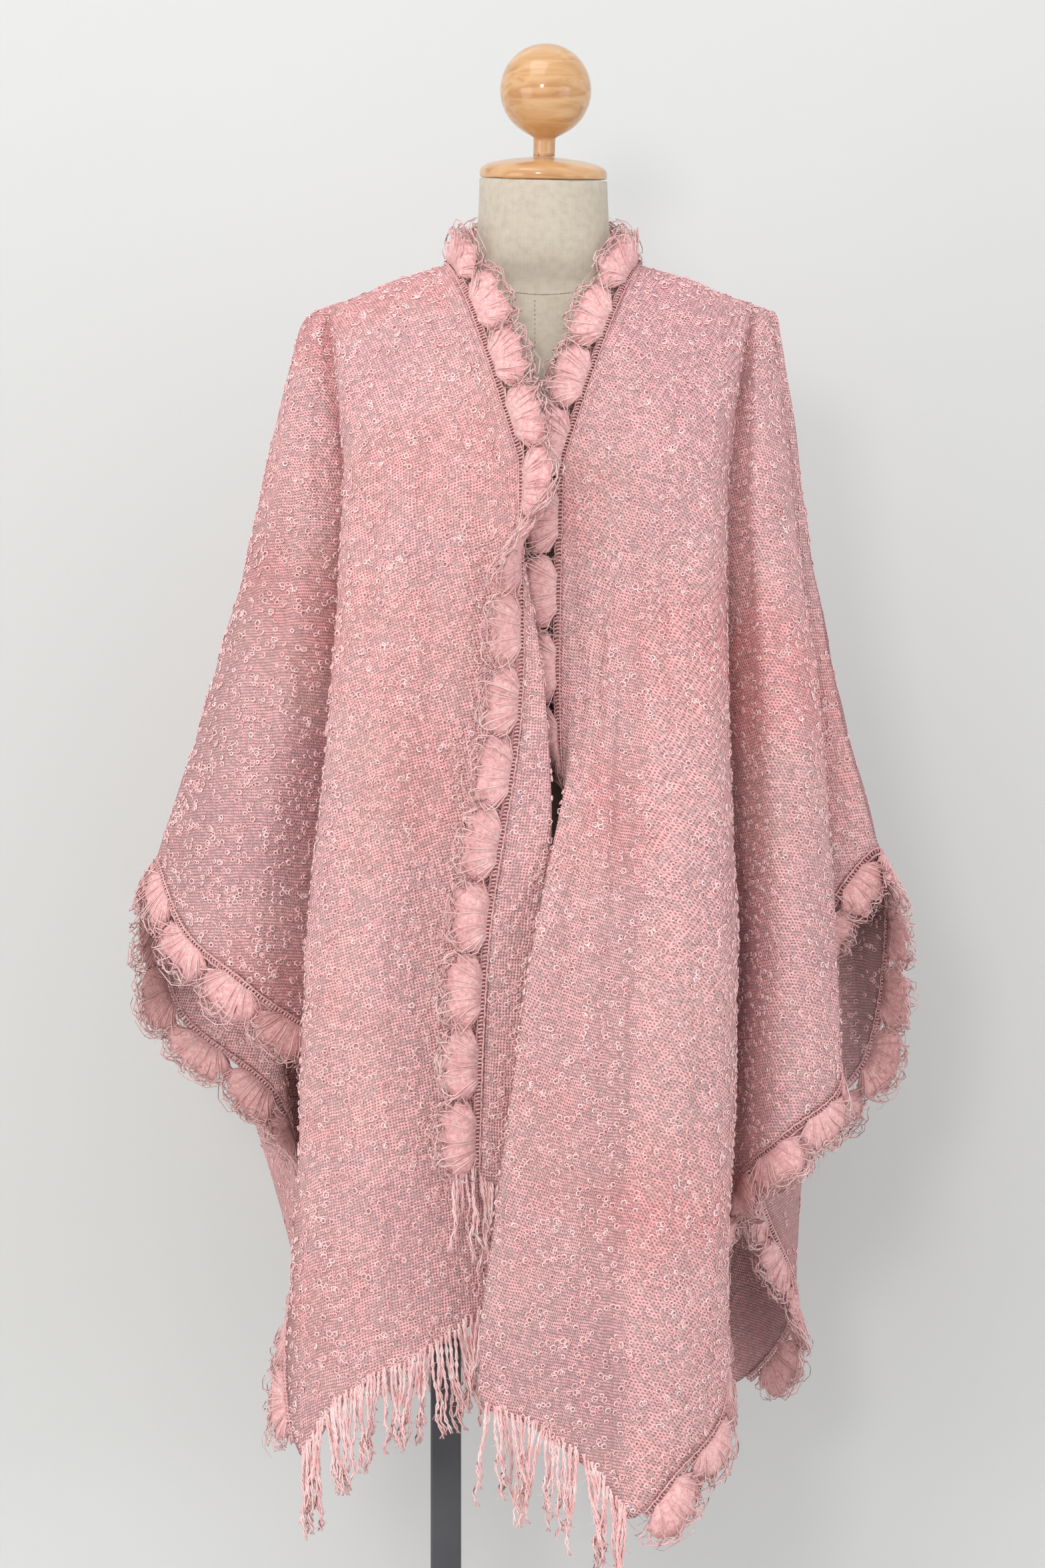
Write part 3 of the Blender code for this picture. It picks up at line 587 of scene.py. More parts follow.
def local_curve(knots, values, index, at):
    """The smooth curve between knot index and the next one, from four knots round it."""
    last = len(knots) - 1
    span = knots[index + 1] - knots[index]
    low = np.maximum(index - 1, 0)
    high = np.minimum(index + 2, last)
    slope_first = (values[index + 1] - values[low]) / (knots[index + 1] - knots[low])
    slope_last = (values[high] - values[index]) / (knots[high] - knots[index])
    share = (at - knots[index]) / span
    return cubic(share, span, values[index], slope_first, values[index + 1], slope_last)


# Soft creases: place along the folds, where each starts and ends down the cloth, its width in
# folds and its height in metres, a trough where that is negative.
CREASES = [
    (2.45, 0.30, 0.95, 0.20, 0.0035),
    (3.05, 0.22, 0.80, 0.22, -0.0040),
    (3.60, 0.40, 1.00, 0.18, 0.0040),
    (4.10, 0.28, 0.70, 0.20, -0.0045),
    (4.50, 0.55, 1.00, 0.16, 0.0035),
    (7.50, 0.20, 0.75, 0.25, 0.0050),
    (8.35, 0.35, 0.95, 0.22, -0.0045),
    (8.90, 0.15, 0.60, 0.20, 0.0040),
    (10.50, 0.20, 0.80, 0.24, -0.0040),
    (13.40, 0.30, 0.90, 0.22, 0.0045),
    (14.60, 0.20, 0.75, 0.25, -0.0050),
    (15.50, 0.45, 1.00, 0.20, 0.0040),
    (17.30, 0.25, 0.65, 0.25, 0.0050),
    (18.60, 0.40, 0.95, 0.20, -0.0045),
    (19.50, 0.20, 0.70, 0.22, 0.0040),
    (21.40, 0.35, 0.90, 0.25, -0.0045),
    (24.50, 0.25, 0.80, 0.22, 0.0040),
    (28.50, 0.30, 0.90, 0.24, 0.0050),
    (29.40, 0.20, 0.70, 0.20, -0.0040),
    (31.45, 0.30, 0.95, 0.24, 0.0045),
    (32.40, 0.18, 0.60, 0.22, -0.0045),
    (33.30, 0.35, 1.00, 0.26, -0.0050),
    (34.40, 0.45, 0.95, 0.22, 0.0045),
    (35.10, 0.30, 0.75, 0.18, -0.0035),
]


def surface_normals(grid):
    """Normals that point to the outer side of the cloth."""
    down = np.gradient(grid, axis=0)
    across = np.gradient(grid, axis=1)
    normals = np.cross(across, down)
    return normals / (np.linalg.norm(normals, axis=2)[..., None] + 1e-12)


def creased_grid(places, shares):
    """The cloth with its soft creases and a faint unevenness."""
    grid = cloth_grid(places, shares)
    normals = surface_normals(grid)
    lift = np.zeros(grid.shape[:2])
    for place, start, end, width, height in CREASES:
        beside = np.exp(-(((places - place) / width) ** 2))
        run = np.clip((shares - start) / (end - start), 0.0, 1.0)
        lift += height * np.outer(np.sin(run * math.pi) ** 0.7, beside)
    u, v = np.meshgrid(places, shares)
    lift += 0.0009 * np.sin(u * 5.1 + 2.3 * np.sin(v * 9.0)) * np.sin(v * 31.0 + u * 1.7)
    lift += 0.0006 * np.sin(u * 11.3 + v * 23.0) * np.sin(v * 17.0 - u * 3.1)
    border = np.clip(np.minimum(shares, 1.0) * 14.0, 0.0, 1.0)
    return grid + normals * (lift * border[:, None])[..., None]


def lengths_along(grid, axis):
    """The length of cloth from the first point of each row or column to each of its points."""
    steps = np.linalg.norm(np.diff(grid, axis=axis), axis=2)
    return np.insert(np.cumsum(steps, axis=axis), 0, 0.0, axis=axis)


def make_panel(name, first, last, columns, rows):
    """One panel of cloth as a thin wall, with its weave's lengths as the UV map."""
    places = np.linspace(first, last, columns + 1)
    shares = np.linspace(0.0, 1.0, rows + 1) ** 1.05
    grid = creased_grid(places, shares)
    across = lengths_along(grid, 1)
    down = lengths_along(grid, 0)
    width = columns + 1
    first_corner = (np.arange(rows)[:, None] * width + np.arange(columns)[None, :]).ravel()
    faces = np.stack(
        [first_corner, first_corner + 1, first_corner + width + 1, first_corner + width], axis=1
    )
    piece = add_faces(name, grid.reshape(-1, 3), faces)
    lengths = piece.data.uv_layers.new(name="weave")
    corners = np.zeros(len(piece.data.loops), np.int32)
    piece.data.loops.foreach_get("vertex_index", corners)
    flat = np.stack([across.ravel()[corners], down.ravel()[corners]], axis=1)
    lengths.data.foreach_set("uv", flat.astype(np.float32).ravel())
    wall = piece.modifiers.new("Wall", "SOLIDIFY")
    wall.thickness = CLOTH_WALL
    wall.offset = 0.0
    apply_modifiers(piece)
    piece.data.shade_smooth()
    return piece


# Boucle cloth: matt brushed wool with a soft sheen. The weave is open, 2.6 mm from yarn to
# yarn, with painted shade as dark points in the gaps between the yarns and painted light on
# the yarns' tops, and the dye clouds from rose to a greyer mauve.
YARN_SPACING = 0.0026
CURL_RING_RADIUS = 0.27
boucle = new_material(
    "brushed_boucle_plain_weave",
    {
        "Roughness": 0.95,
        "Sheen Weight": 0.12,
        "Sheen Roughness": 0.6,
        "Sheen Tint": linear("#ffdcdc"),
        "Specular IOR Level": 0.1,
    },
)
weave_place = add_node(boucle, "ShaderNodeUVMap", {"uv_map": "weave"}).outputs["UV"]
cloud_place = object_place(boucle)
wander_settings = {"Scale": 45.0, "Detail": 3.0}
wander = add_node(boucle, "ShaderNodeTexNoise", wander_settings, {"Vector": cloud_place})
weave_shift = add_node(
    boucle,
    "ShaderNodeVectorMath",
    {"operation": "MULTIPLY_ADD", 1: (0.004, 0.004, 0.0)},
    {0: wander.outputs["Color"], 2: weave_place},
)
weave_apart = add_node(
    boucle, "ShaderNodeSeparateXYZ", {}, {"Vector": weave_shift.outputs["Vector"]}
)


def yarn_rows(material, source):
    """Round yarns side by side: 1 on top of each yarn, 0 between two."""
    turn = add_math(material, "MULTIPLY", source, math.pi / YARN_SPACING)
    return add_math(material, "ABSOLUTE", add_math(material, "SINE", turn))


def curl_rings(material, source, scale, least):
    """Flat curls as rings: 1 on the yarn, 0 beside it, in the cells above a random level."""
    cells = add_node(
        material,
        "ShaderNodeTexVoronoi",
        {"voronoi_dimensions": "2D", "Scale": scale, "Randomness": 1.0},
        {"Vector": source},
    )
    off = add_math(material, "SUBTRACT", cells.outputs["Distance"], CURL_RING_RADIUS)
    ring = add_node(
        material,
        "ShaderNodeMapRange",
        {"From Min": 0.03, "From Max": 0.11, "To Min": 1.0, "To Max": 0.0},
        {"Value": add_math(material, "ABSOLUTE", off)},
    )
    pick = add_node(material, "ShaderNodeSeparateColor", {}, {"Color": cells.outputs["Color"]})
    shown = add_math(material, "GREATER_THAN", pick.outputs["Red"], least)
    return add_math(material, "MULTIPLY", ring.outputs["Result"], shown)


def mix_colors(material, share, first, second, blend="MIX"):
    """Two colours mixed. Each operand is a value or another node's output."""
    mix = add_node(material, "ShaderNodeMix", {"data_type": "RGBA", "blend_type": blend})
    for index, operand in ((0, share), (6, first), (7, second)):
        if isinstance(operand, (float, list)):
            mix.inputs[index].default_value = operand
        else:
            wire(material, operand, mix.inputs[index])
    return mix.outputs[2]


warp = yarn_rows(boucle, weave_apart.outputs["X"])
weft = yarn_rows(boucle, weave_apart.outputs["Y"])
weave_top = add_math(boucle, "MAXIMUM", warp, weft)
weave_low = add_math(boucle, "MINIMUM", warp, weft)
weave_height = add_math(boucle, "MULTIPLY_ADD", weave_low, 0.35, weave_top)
fluff = add_noise(boucle, cloud_place, Scale=420.0, Detail=4.0, Roughness=0.7)
cloth_height = add_math(boucle, "MULTIPLY_ADD", fluff, 0.9, weave_height)
large_curls = curl_rings(boucle, weave_place, 150.0, 0.28)
small_curls = curl_rings(boucle, weave_place, 215.0, 0.42)
flat_curls = add_math(boucle, "MAXIMUM", large_curls, small_curls)
raised = add_math(boucle, "MULTIPLY_ADD", flat_curls, 1.2, cloth_height)

# Weave tones: the yarn's pink, painted shade in the gaps between yarns, painted light on tops.
weave_and_gap_shade_tones = [(0.30, "#b9626d"), (0.60, "#eeadb0"), (1.0, "#ffcecd")]
weave_and_gap_shade = add_colors(boucle, weave_height, weave_and_gap_shade_tones)
curl_share = add_math(boucle, "MULTIPLY", flat_curls, 0.66)
curled = mix_colors(boucle, curl_share, weave_and_gap_shade, linear("#ffe4e1"))
dye_cloud = add_noise(boucle, cloud_place, Scale=5.5, Detail=3.0, Roughness=0.55)
dye_tone = add_colors(boucle, dye_cloud, [(0.34, "#f0e4ea"), (0.52, "#faf3f3"), (0.70, "#fbdfe0")])
dyed = mix_colors(boucle, 1.0, curled, dye_tone, "MULTIPLY")
faded_cloud = add_noise(boucle, weave_place, Scale=7.0, Detail=2.0, Distortion=0.6)
faded_share = add_node(
    boucle,
    "ShaderNodeMapRange",
    {"From Min": 0.46, "From Max": 0.66, "To Min": 0.0, "To Max": 0.16},
    {"Value": faded_cloud},
)
faded = mix_colors(boucle, faded_share.outputs["Result"], dyed, linear("#ecc8be"))
wire(boucle, faded, shader_of(boucle).inputs["Base Color"])
add_bump(boucle, raised, 1.0, 0.0013)

LEFT_WING = len(FRONT_LEFT_FOLDS)
RIGHT_WING = LEFT_WING + len(BACK_FOLDS) + 1
# Columns: node, first and last place, columns and rows of the mesh, flat width and length.
PANELS = [
    ("front_left", 0.0, LEFT_WING, 72, 100, (0.42, 0.92)),
    ("back", LEFT_WING, RIGHT_WING, 102, 90, (0.92, 0.92)),
    ("front_right", RIGHT_WING, LAST_PLACE, 80, 104, (0.44, 0.92)),
]
for name, first, last, columns, rows, cut in PANELS:
    panel = make_panel("boucle_" + name, first, last, columns, rows)
    finish_piece(panel, boucle, [name])

# Boucle curls: the loose loops that the curled yarn leaves all over the outer side, and on the
# insides that show. Each is a small ring of yarn that leans on the cloth, 3 to 6 mm across.
CURL_SEGMENTS = 5
CURL_RADIUS = 0.0016
CURL_RADIUS_SPREAD = 0.0011
CURL_YARN_RADIUS = 0.00060
CURL_YARN_SPREAD = 0.00022


def scatter_on_cloth(grid, count, chance):
    """Random places all over a grid of points, with the normal and the way down there."""
    across = grid[:-1, 1:] - grid[:-1, :-1]
    down = grid[1:, :-1] - grid[:-1, :-1]
    normals = np.cross(across, down)
    areas = np.linalg.norm(normals, axis=2)
    share = (areas / areas.sum()).ravel()
    cells = chance.choice(len(share), size=count, p=share)
    row, column = np.divmod(cells, areas.shape[1])
    x = chance.random((count, 1))
    y = chance.random((count, 1))
    places = grid[row, column] + across[row, column] * x + down[row, column] * y
    normals = normals[row, column] / areas[row, column][:, None]
    ways = down[row, column] / (np.linalg.norm(down[row, column], axis=1)[:, None] + 1e-12)
    return places, normals, ways


def unit(vectors):
    return vectors / (np.linalg.norm(vectors, axis=-1, keepdims=True) + 1e-12)


def add_rings(name, centres, first_axes, second_axes, radii, yarn_radii, chance):
    """Wobbly rings of yarn with a three-sided section, all in one mesh."""
    count = len(centres)
    segments = CURL_SEGMENTS
    turns = np.arange(segments) * 2.0 * math.pi / segments
    wobble = 1.0 + 0.22 * (chance.random((count, segments)) - 0.5)
    wide = radii[:, None] * wobble
    tall = wide * (0.75 + 0.25 * chance.random((count, 1)))
    normals = unit(np.cross(first_axes, second_axes))
    lifts = 0.45 * radii[:, None] * (chance.random((count, segments)) - 0.5)
    outward = (
        first_axes[:, None] * np.cos(turns)[None, :, None]
        + second_axes[:, None] * np.sin(turns)[None, :, None]
    )
    path = (
        centres[:, None]
        + first_axes[:, None] * (wide * np.cos(turns))[..., None]
        + second_axes[:, None] * (tall * np.sin(turns))[..., None]
        + normals[:, None] * lifts[..., None]
    )
    sides = np.arange(3) * 2.0 * math.pi / 3.0
    points = path[:, :, None] + yarn_radii[:, None, None, None] * (
        outward[:, :, None] * np.cos(sides)[None, None, :, None]
        + normals[:, None, None] * np.sin(sides)[None, None, :, None]
    )
    step, side = np.meshgrid(np.arange(segments), np.arange(3), indexing="ij")
    after = (step + 1) % segments
    beside = (side + 1) % 3
    ring_faces = np.stack(
        [step * 3 + side, after * 3 + side, after * 3 + beside, step * 3 + beside], axis=-1
    ).reshape(-1, 4)
    bases = np.arange(count)[:, None, None] * (segments * 3)
    return add_faces(name, points.reshape(-1, 3), (ring_faces[None] + bases).reshape(-1, 4))


# The curls' yarn: brushed wool, matt and a little paler than the weave below it.
curl_yarn = new_material(
    "brushed_wool_curls",
    {
        "Roughness": 0.9,
        "Sheen Weight": 0.25,
        "Sheen Roughness": 0.5,
        "Sheen Tint": linear("#ffe9e6"),
        "Specular IOR Level": 0.15,
    },
)
curl_cloud = add_noise(curl_yarn, object_place(curl_yarn), Scale=110.0, Detail=2.0)
curl_tones = [(0.30, "#f2babc"), (0.50, "#fbcfce"), (0.70, "#ffe6e4")]
color_shader(curl_yarn, curl_cloud, curl_tones)

# Columns: name, first and last place, share of the top end, count, 1 outside and -1 inside.
CURLS = [
    ("front_left", 0.8, LEFT_WING, 0.0, 5800, 1.0),
    ("back", LEFT_WING, RIGHT_WING, 0.0, 3700, 1.0),
    ("front_right", RIGHT_WING, LAST_PLACE - 0.8, 0.0, 5700, 1.0),
    ("flap_inside", 0.0, 1.4, 0.25, 620, -1.0),
    ("wing_inside_left", LEFT_WING, LEFT_WING + 3.2, 0.62, 620, -1.0),
    ("wing_inside_right", RIGHT_WING - 3.2, RIGHT_WING, 0.60, 900, -1.0),
]
for name, first, last, top_share, count, face in CURLS:
    chance = np.random.default_rng(400 + count)
    shares = np.linspace(top_share + 0.004, 0.996, 110)
    grid = creased_grid(np.linspace(first + 0.04, last - 0.04, 90), shares)
    places, normals, ways = scatter_on_cloth(grid, count, chance)
    normals *= face
    lean = unit(normals + 0.60 * (chance.random((count, 3)) - 0.5))
    first_axes = unit(np.cross(lean, unit(ways + chance.normal(size=(count, 3)))))
    second_axes = np.cross(lean, first_axes)
    radii = CURL_RADIUS + CURL_RADIUS_SPREAD * chance.random(count) ** 1.3
    yarn_radii = CURL_YARN_RADIUS + CURL_YARN_SPREAD * chance.random(count)
    centres = places + normals * (0.0009 + 0.0006 * chance.random((count, 1)))
    name = "curls_" + name
    curls = add_rings(name, centres, first_axes, second_axes, radii, yarn_radii, chance)
    finish_piece(curls, curl_yarn)

# Crocheted edging: mohair shells worked on the cloth's edges, one fan to every 60 mm. Each fan
# is a bunch of looped stitches from one foot on a ribbed base row, over a thin brushed body,
# with an open cell between two fans near the base and loose hairs all round.
SHELL_PITCH = 0.060
SHELL_DEPTH = 0.040
BASE_ROW_DEPTH = 0.006
FAN_FOOT = 0.003
FAN_FOOT_HALF = 0.014
FAN_ANGLE = 1.27
BODY_TURNS = 19
FAN_STITCHES = 26
FAN_LOOPS = 13
FAN_HAIRS = 36
ROW_STITCH = 0.0031
FAN_MIDDLE = 0.58
BODY_HALF = 0.58
THREADS_HALF = 0.60
STITCH_RADIUS = 0.00066
LOOP_RADIUS = 0.00068
HAIR_RADIUS = 0.00024
ROW_RADIUS = 0.0011


def edge_path(points, inside, raise_from=None, raise_to=None):
    """An edge with its way out of the cloth, its face's normal and the lengths along it."""
    along = unit(np.gradient(points, axis=0))
    outward = points - inside
    outward -= along * (outward * along).sum(axis=1)[:, None]
    outward = unit(outward)
    if raise_from is not None:
        share = np.clip((points[:, 2:] - raise_from) / (raise_to - raise_from), 0.0, 1.0)
        upright = unit(outward * np.array([0.25, 0.25, 0.0]) + np.array([0.0, 0.0, 1.0]))
        outward = unit(outward * (1.0 - share) + upright * share)
    for _ in range(6):
        padded = np.concatenate([outward[:1], outward, outward[-1:]])
        outward = unit(padded[:-2] + 2.0 * padded[1:-1] + padded[2:])
    normals = unit(np.cross(along, outward))
    steps = np.linalg.norm(np.diff(points, axis=0), axis=1)
    return points, outward, normals, np.concatenate([[0.0], np.cumsum(steps)])


def on_path(path, distance, out, high):
    """Places beside an edge: so far along it, out from it and off its face, all arrays."""
    points, outward, normals, lengths = path
    distance = np.asarray(distance, float)
    past = (distance - np.clip(distance, 0.0, lengths[-1]))[..., None]
    parts = []
    for values in (points, outward, normals):
        axes = [np.interp(distance, lengths, values[:, axis]) for axis in range(3)]
        parts.append(np.stack(axes, axis=-1))
    along = np.cross(parts[1], parts[2])
    out = np.asarray(out, float)[..., None]
    high = np.asarray(high, float)[..., None]
    return parts[0] + along * past + unit(parts[1]) * out + unit(parts[2]) * high


def fan_radius(angle, half_width):
    """The outline of a fan from its foot: a rounded square, softly scalloped by the stitches."""
    wide = np.abs(np.sin(angle)) / half_width
    deep = np.abs(np.cos(angle)) / (SHELL_DEPTH - FAN_FOOT)
    return (wide**4.0 + deep**4.0) ** (-1.0 / 4.0) * (0.97 + 0.03 * np.cos(angle * 13.0))


def fan_body(path, middle, half_width, chance):
    """The thin brushed body of one fan as a closed grid of points round its sheet."""
    turns = np.linspace(-FAN_ANGLE, FAN_ANGLE, BODY_TURNS)
    shares = np.array([0.04, 0.32, 0.60, 0.80])
    ragged = 1.0 + 0.06 * chance.normal(size=BODY_TURNS)
    radius = fan_radius(turns, half_width)[:, None] * shares[None, :]
    radius[:, -1] *= ragged
    side = np.sin(turns)[:, None] * (radius + FAN_FOOT_HALF * (1.0 - shares[None, :]))
    out = FAN_FOOT + np.cos(turns)[:, None] * radius
    rib = 0.0020 + 0.0020 * np.abs(np.cos(turns * 6.8))[:, None] * np.sin(shares * 3.0)[None, :]
    rib[:, -1] = 0.0002
    front = on_path(path, middle + side, out, rib)
    behind = on_path(path, middle + side, out, -rib)
    return np.stack([front, behind])


def body_faces(turns, shares):
    """Faces of the two sides of a fan's body, closed all round its border."""
    side = turns * shares
    column, row = np.meshgrid(np.arange(turns - 1), np.arange(shares - 1), indexing="ij")
    first = (column * shares + row).ravel()
    top = np.stack([first, first + shares, first + shares + 1, first + 1], axis=1)
    low = top[:, ::-1] + side
    border = [index * shares for index in range(turns)]
    border += [(turns - 1) * shares + index for index in range(1, shares)]
    border += [index * shares + shares - 1 for index in range(turns - 2, -1, -1)]
    border += range(shares - 2, 0, -1)
    rim = []
    for here, after in zip(border, border[1:] + border[:1]):
        rim.append([after, here, here + side, after + side])
    return np.concatenate([top, low, np.array(rim)])


def fan_threads(path, middle, half_width, chance, paths, radii):
    """The looped stitches and the loose hairs of one fan, added to the lists."""
    steps = np.linspace(0.0, 1.0, 7)
    few = np.linspace(0.0, 1.0, 4)

    def add_thread(turn, radius, high, thickness):
        share = np.clip(radius / SHELL_DEPTH, 0.0, 1.0)
        side = np.sin(turn) * (radius + FAN_FOOT_HALF * (1.0 - share))
        paths.append(on_path(path, middle + side, FAN_FOOT + np.cos(turn) * radius, high))
        radii.append(thickness)

    for index in range(FAN_STITCHES):
        along_fan = (index + 0.5) / FAN_STITCHES
        aim = -FAN_ANGLE + 2.0 * FAN_ANGLE * along_fan + 0.08 * chance.normal()
        reach = fan_radius(aim, half_width) * (0.88 + 0.18 * chance.random())
        bend = 0.22 * chance.normal()
        bend = bend * np.sin(steps * (3.0 + 4.5 * chance.random()) + chance.random() * 3.0)
        arch = np.sin(steps * (1.75 + 0.55 * chance.random())) ** 0.9
        radius = 0.002 + (reach - 0.002) * arch
        high = 0.0018 + (0.0022 + 0.0030 * chance.random()) * np.sin(steps * 3.0)
        hook = 0.32 * chance.normal() * steps**4
        thickness = STITCH_RADIUS - 0.00020 * steps
        add_thread(aim + bend * steps + hook, radius, high * (-1) ** index, thickness)
    for index in range(FAN_LOOPS):
        turn = -FAN_ANGLE + 1.8 * chance.random() + (0.4 + 0.6 * chance.random()) * steps
        wave = 0.70 + 0.30 * chance.random() + 0.06 * np.sin(steps * 9.0 + chance.random() * 6.0)
        high = 0.0024 * np.sin(steps * 5.0 + chance.random() * 6.0) + 0.0014 * (-1) ** index
        add_thread(turn, fan_radius(turn, half_width) * wave, high, np.full(7, LOOP_RADIUS))
    for index in range(FAN_HAIRS):
        aim = -FAN_ANGLE - 0.1 + 2.0 * (FAN_ANGLE + 0.1) * chance.random()
        start = fan_radius(aim, half_width) * (0.30 + 0.62 * chance.random())
        length = 0.007 + 0.009 * chance.random()
        turn = aim + chance.normal() * 0.8 * few**1.5 * length / max(start, 0.012)
        radius = start + length * few * (0.25 + 0.75 * chance.random())
        radius = np.minimum(radius, fan_radius(aim, half_width) * 1.10)
        high = (0.001 + 0.0075 * chance.random() * np.sin(few * 2.4)) * (-1) ** index
        add_thread(turn, radius, high, HAIR_RADIUS - 0.00010 * few)


def base_row(path, start, end, chance, paths, radii):
    """The ribbed row that holds the shells: a stitch over the edge every 3 mm, three cords."""
    count = int((end - start) / ROW_STITCH)
    turns = np.linspace(0.25, 2.0 * math.pi - 0.25, 5)
    for index in range(count):
        at = start + (index + 0.5) * (end - start) / count + 0.0002 * chance.normal()
        side = at + 0.0009 * np.sin(turns)
        out = 0.0012 + BASE_ROW_DEPTH * 0.5 * (1.0 - np.cos(turns)) - 0.0016
        paths.append(on_path(path, side, out, 0.0019 * np.sin(turns)))
        radii.append(np.full(5, ROW_RADIUS))
    for out, high in ((0.0008, 0.0016), (0.0008, -0.0016), (BASE_ROW_DEPTH, 0.0006)):
        at = np.linspace(start, end, max(int((end - start) / 0.004), 4))
        swing = 0.0003 * np.sin(np.arange(len(at)) * 2.4)
        paths.append(on_path(path, at, out + swing, high + swing))
        radii.append(0.0007 + 0.00025 * np.abs(np.sin(np.arange(len(at)) * 1.57)))


def add_shell_edging(name, path, margin_start, margin_end, seed):
    """One edging: base row, then a body, stitches and hairs for each fan, as one mesh."""
    chance = np.random.default_rng(seed)
    start = margin_start
    end = path[3][-1] - margin_end
    count = max(round((end - start) / SHELL_PITCH), 1)
    pitch = (end - start) / count
    paths = []
    radii = []
    bodies = []
    row_paths = []
    row_radii = []
    base_row(path, start, end, chance, row_paths, row_radii)
    for index in range(count):
        middle = start + (index + FAN_MIDDLE) * pitch
        bodies.append(fan_body(path, middle, pitch * BODY_HALF, chance))
        fan_threads(path, middle, pitch * THREADS_HALF, chance, paths, radii)
    threads = add_tubes(name, paths, radii, 3)
    faces = body_faces(BODY_TURNS, 4)
    corners = bodies[0].reshape(-1, 3).shape[0]
    all_faces = np.concatenate([faces + index * corners for index in range(count)])
    body_points = np.concatenate([points.reshape(-1, 3) for points in bodies])
    body = add_faces(name + "_body", body_points, all_faces)
    row = add_tubes(name + "_row", row_paths, row_radii, 3)
    # The fans' bodies take the deeper mohair, painted shade between and under the loops.
    for piece, yarn in ((row, brushed), (body, brushed), (threads, mohair)):
        piece.data.materials.append(yarn)
    select_only(row, body, threads)
    bpy.ops.object.join()
    threads.data.shade_smooth()
    return threads


# Brushed mohair: paler than the cloth, soft and hazy, with a strong sheen.
mohair = new_material(
    "brushed_mohair_yarn",
    {
        "Roughness": 0.85,
        "Sheen Weight": 0.35,
        "Sheen Roughness": 0.5,
        "Sheen Tint": linear("#fff0ee"),
        "Specular IOR Level": 0.12,
    },
)
mohair_place = object_place(mohair)
mohair_cloud = add_noise(mohair, mohair_place, Scale=60.0, Detail=3.0)
mohair_tones = [(0.28, "#f0b7b8"), (0.50, "#f8cac8"), (0.72, "#fddfdb")]
color_shader(mohair, mohair_cloud, mohair_tones)
mohair_fluff = add_noise(mohair, mohair_place, Scale=700.0, Detail=4.0, Roughness=0.7)
add_bump(mohair, mohair_fluff, 0.8, 0.0010)

# The same mohair, matter and a little deeper, for the base row and the fans' bodies. On the row
# the deeper tone is the yarn's own pink; on the bodies it is painted shade between and under
# the loops.
brushed = new_material(
    "mohair_ground_and_painted_shade", {"Roughness": 0.95, "Specular IOR Level": 0.05, "Sheen Weight": 0.1}
)
brushed_grain = add_noise(brushed, object_place(brushed), Scale=320.0, Detail=4.0, Roughness=0.7)
# Deeper tones: painted shade on the fans' bodies between and under the loops.
ground_and_shade_tones = [(0.32, "#dc9d9f"), (0.50, "#efb9b8"), (0.66, "#facfcc")]
color_shader(brushed, brushed_grain, ground_and_shade_tones)
add_bump(brushed, brushed_grain, 1.0, 0.0016)

# Where each edge lies: a row of points on it and a row a little inside it.
INSIDE = 1.0 / 3.0
HEM_INSIDE = 1.0 / 16.0
fine_shares = np.linspace(0.0, 1.0, 241)
left_edge = cloth_grid(np.array([0.0, INSIDE]), fine_shares)
right_edge = cloth_grid(np.array([LAST_PLACE - INSIDE, float(LAST_PLACE)]), fine_shares)
neck_places = np.linspace(LEFT_WING, RIGHT_WING, 800)
neck_rows = cloth_grid(neck_places, np.array([0.0, HEM_INSIDE]))
at_neck = np.abs(neck_rows[0, :, 0]) < NECK_RADIUS - 0.006


def hem_path(first, last):
    """The way along the hem from one place along the folds to another."""
    places = np.linspace(first, last, int((last - first) * 14) + 1)
    rows = cloth_grid(places, np.array([1.0 - HEM_INSIDE, 1.0]))
    return edge_path(rows[1], rows[0])


CORNER_LEFT = 13
CORNER_RIGHT = 22
FRONT_CORNER_LEFT = 5
FRONT_CORNER_RIGHT = 33
LEFT_PATH = edge_path(left_edge[:, 0], left_edge[:, 1], 1.335, 1.375)
RIGHT_PATH = edge_path(right_edge[:, 1], right_edge[:, 0], 1.335, 1.375)
NECK_PATH = edge_path(neck_rows[0, at_neck], neck_rows[1, at_neck], 1.30, 1.33)
# Columns: name, path, margin left bare at its start and at its end, seed.
EDGINGS = [
    ("front_left", LEFT_PATH, 0.006, 0.004, 21),
    ("front_right", RIGHT_PATH, 0.006, 0.004, 22),
    ("neck", NECK_PATH, 0.0, 0.0, 23),
    ("side_left", hem_path(FRONT_CORNER_LEFT, CORNER_LEFT), 0.012, 0.012, 24),
    ("side_right", hem_path(CORNER_RIGHT, FRONT_CORNER_RIGHT), 0.012, 0.012, 25),
]
for name, path, margin_start, margin_end, seed in EDGINGS:
    edging = add_shell_edging("shells_" + name, path, margin_start, margin_end, seed)
    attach(edging, "root")
    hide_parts("edging_" + name)

# Fringe: the cloth's own boucle warp left unwoven past the hem, a strand every 3 mm in front and
# every 5.5 mm behind. Each is two plies twisted round each other, and four strands lean together.
BUNCH = 4
STRAND_LENGTH = 0.066
STRAND_LENGTH_SPREAD = 0.024
STRAND_HAIRS = 4
TWIST_LENGTH = 0.0085
PLY_RADIUS = 0.00120
STRAND_HAIR_RADIUS = 0.00026


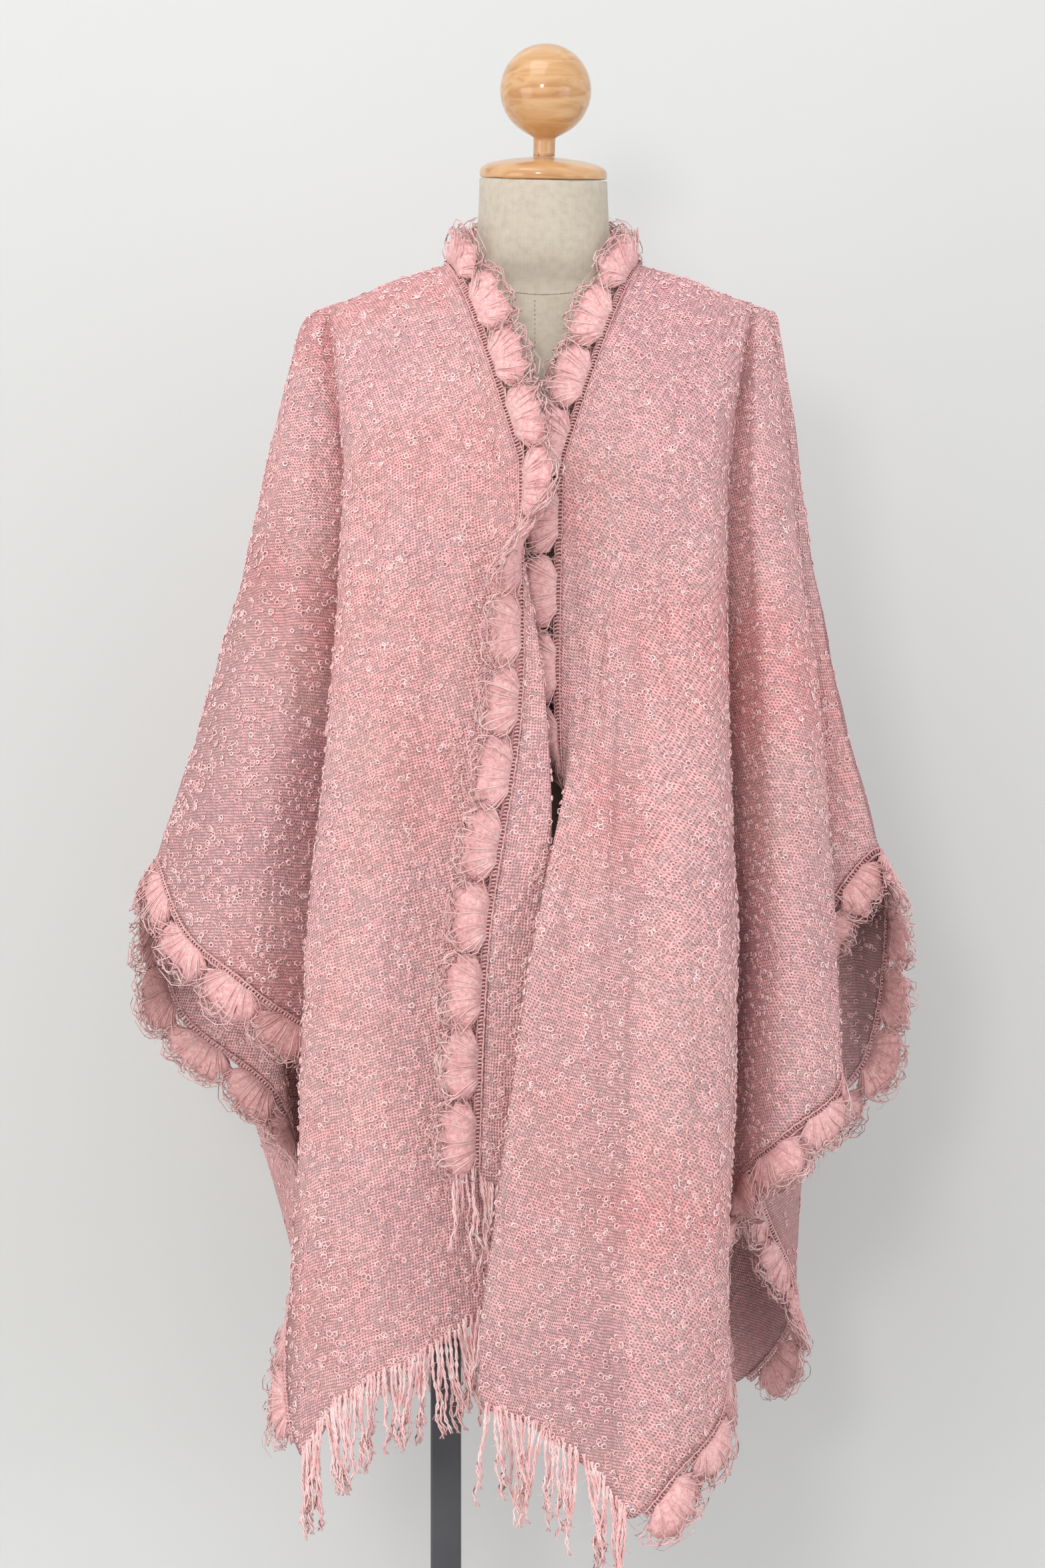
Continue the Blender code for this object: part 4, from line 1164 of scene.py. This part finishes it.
def add_fringe(name, path, pitch, margin_start, margin_end, seed):
    """One hem's strands and stray hairs as one mesh."""
    chance = np.random.default_rng(seed)
    start = margin_start
    end = path[3][-1] - margin_end
    count = int((end - start) / pitch)
    bunch_lean = 0.10 * chance.normal(size=count // BUNCH + 1)
    paths = []
    radii = []
    steps = np.linspace(0.0, 1.0, 15)
    few = np.linspace(0.0, 1.0, 4)
    for index in range(count):
        at = start + (index + 0.5) * (end - start) / count + 0.0008 * chance.normal()
        root = on_path(path, at, -0.004 - 0.004 * chance.random(), 0.0014)
        ahead = unit(on_path(path, at + 0.003, 0.0, 0.0) - on_path(path, at - 0.003, 0.0, 0.0))
        flat = unit(ahead * np.array([1.0, 1.0, 0.0]))
        face = np.cross(flat, np.array([0.0, 0.0, 1.0]))
        length = STRAND_LENGTH + STRAND_LENGTH_SPREAD * chance.random()
        gather = ((BUNCH - 1) / 2.0 - index % BUNCH) * pitch / 0.07 * 0.45
        lean = bunch_lean[index // BUNCH] + gather + 0.03 * chance.normal()
        tilt = 0.05 * chance.normal()
        drop = steps * length
        curl = 0.0006 + 0.0022 * steps**1.8
        phase = chance.random() * 6.3
        speed = 2.5 + 3.0 * chance.random()
        sway = lean * drop + curl * np.sin(speed * steps**1.4 * 3.0 + phase)
        swing = tilt * drop + curl * 0.7 * np.cos(speed * steps**1.4 * 3.0 + phase)
        spine = root + flat * sway[:, None] + face * swing[:, None]
        spine[:, 2] -= drop * (1.0 - 0.06 * steps)
        twist = steps * length / TWIST_LENGTH * 2.0 * math.pi + phase
        apart = 0.00085 + 0.0007 * steps**4
        for ply in (0.0, math.pi):
            around = flat * (apart * np.cos(twist + ply))[:, None]
            around = around + face * (apart * np.sin(twist + ply))[:, None]
            paths.append(spine + around)
            radii.append(PLY_RADIUS - 0.00035 * steps)
        for _ in range(STRAND_HAIRS):
            pick = int(3 + 11 * chance.random())
            way = flat * chance.normal() + face * chance.normal() * 0.7
            hair = spine[pick] + way * (0.004 * few**1.2)[:, None]
            hair = hair + np.array([0.0, 0.0, -1.0]) * (0.006 * few * chance.random())[:, None]
            paths.append(hair)
            radii.append(STRAND_HAIR_RADIUS - 0.00010 * few)
    return add_tubes(name, paths, radii, 3)


# The fringe's yarn: the cloth's own boucle warp, matt, with a soft sheen of loose fibres.
fringe_yarn = new_material(
    "twisted_boucle_yarn",
    {
        "Roughness": 0.9,
        "Sheen Weight": 0.5,
        "Sheen Roughness": 0.5,
        "Sheen Tint": linear("#ffe9e6"),
        "Specular IOR Level": 0.2,
    },
)
fringe_cloud = add_noise(fringe_yarn, object_place(fringe_yarn), Scale=90.0, Detail=2.0)
fringe_tones = [(0.30, "#f1b9ba"), (0.50, "#fbcfcd"), (0.70, "#ffe5e3")]
color_shader(fringe_yarn, fringe_cloud, fringe_tones)

# Columns: name, path, pitch of the strands, margin left bare at its start and end, seed.
FRINGES = [
    ("flap", hem_path(0, 1), 0.0028, -0.030, 0.002, 31),
    ("front_left", hem_path(1, FRONT_CORNER_LEFT), 0.0029, 0.014, 0.006, 32),
    ("front_right", hem_path(FRONT_CORNER_RIGHT, LAST_PLACE - 1), 0.0029, 0.006, 0.004, 33),
    ("back", hem_path(CORNER_LEFT, CORNER_RIGHT), 0.0055, 0.008, 0.008, 34),
]
for name, path, pitch, margin_start, margin_end, seed in FRINGES:
    strands = add_fringe("strands_" + name, path, pitch, margin_start, margin_end, seed)
    finish_piece(strands, fringe_yarn, ["fringe_" + name])
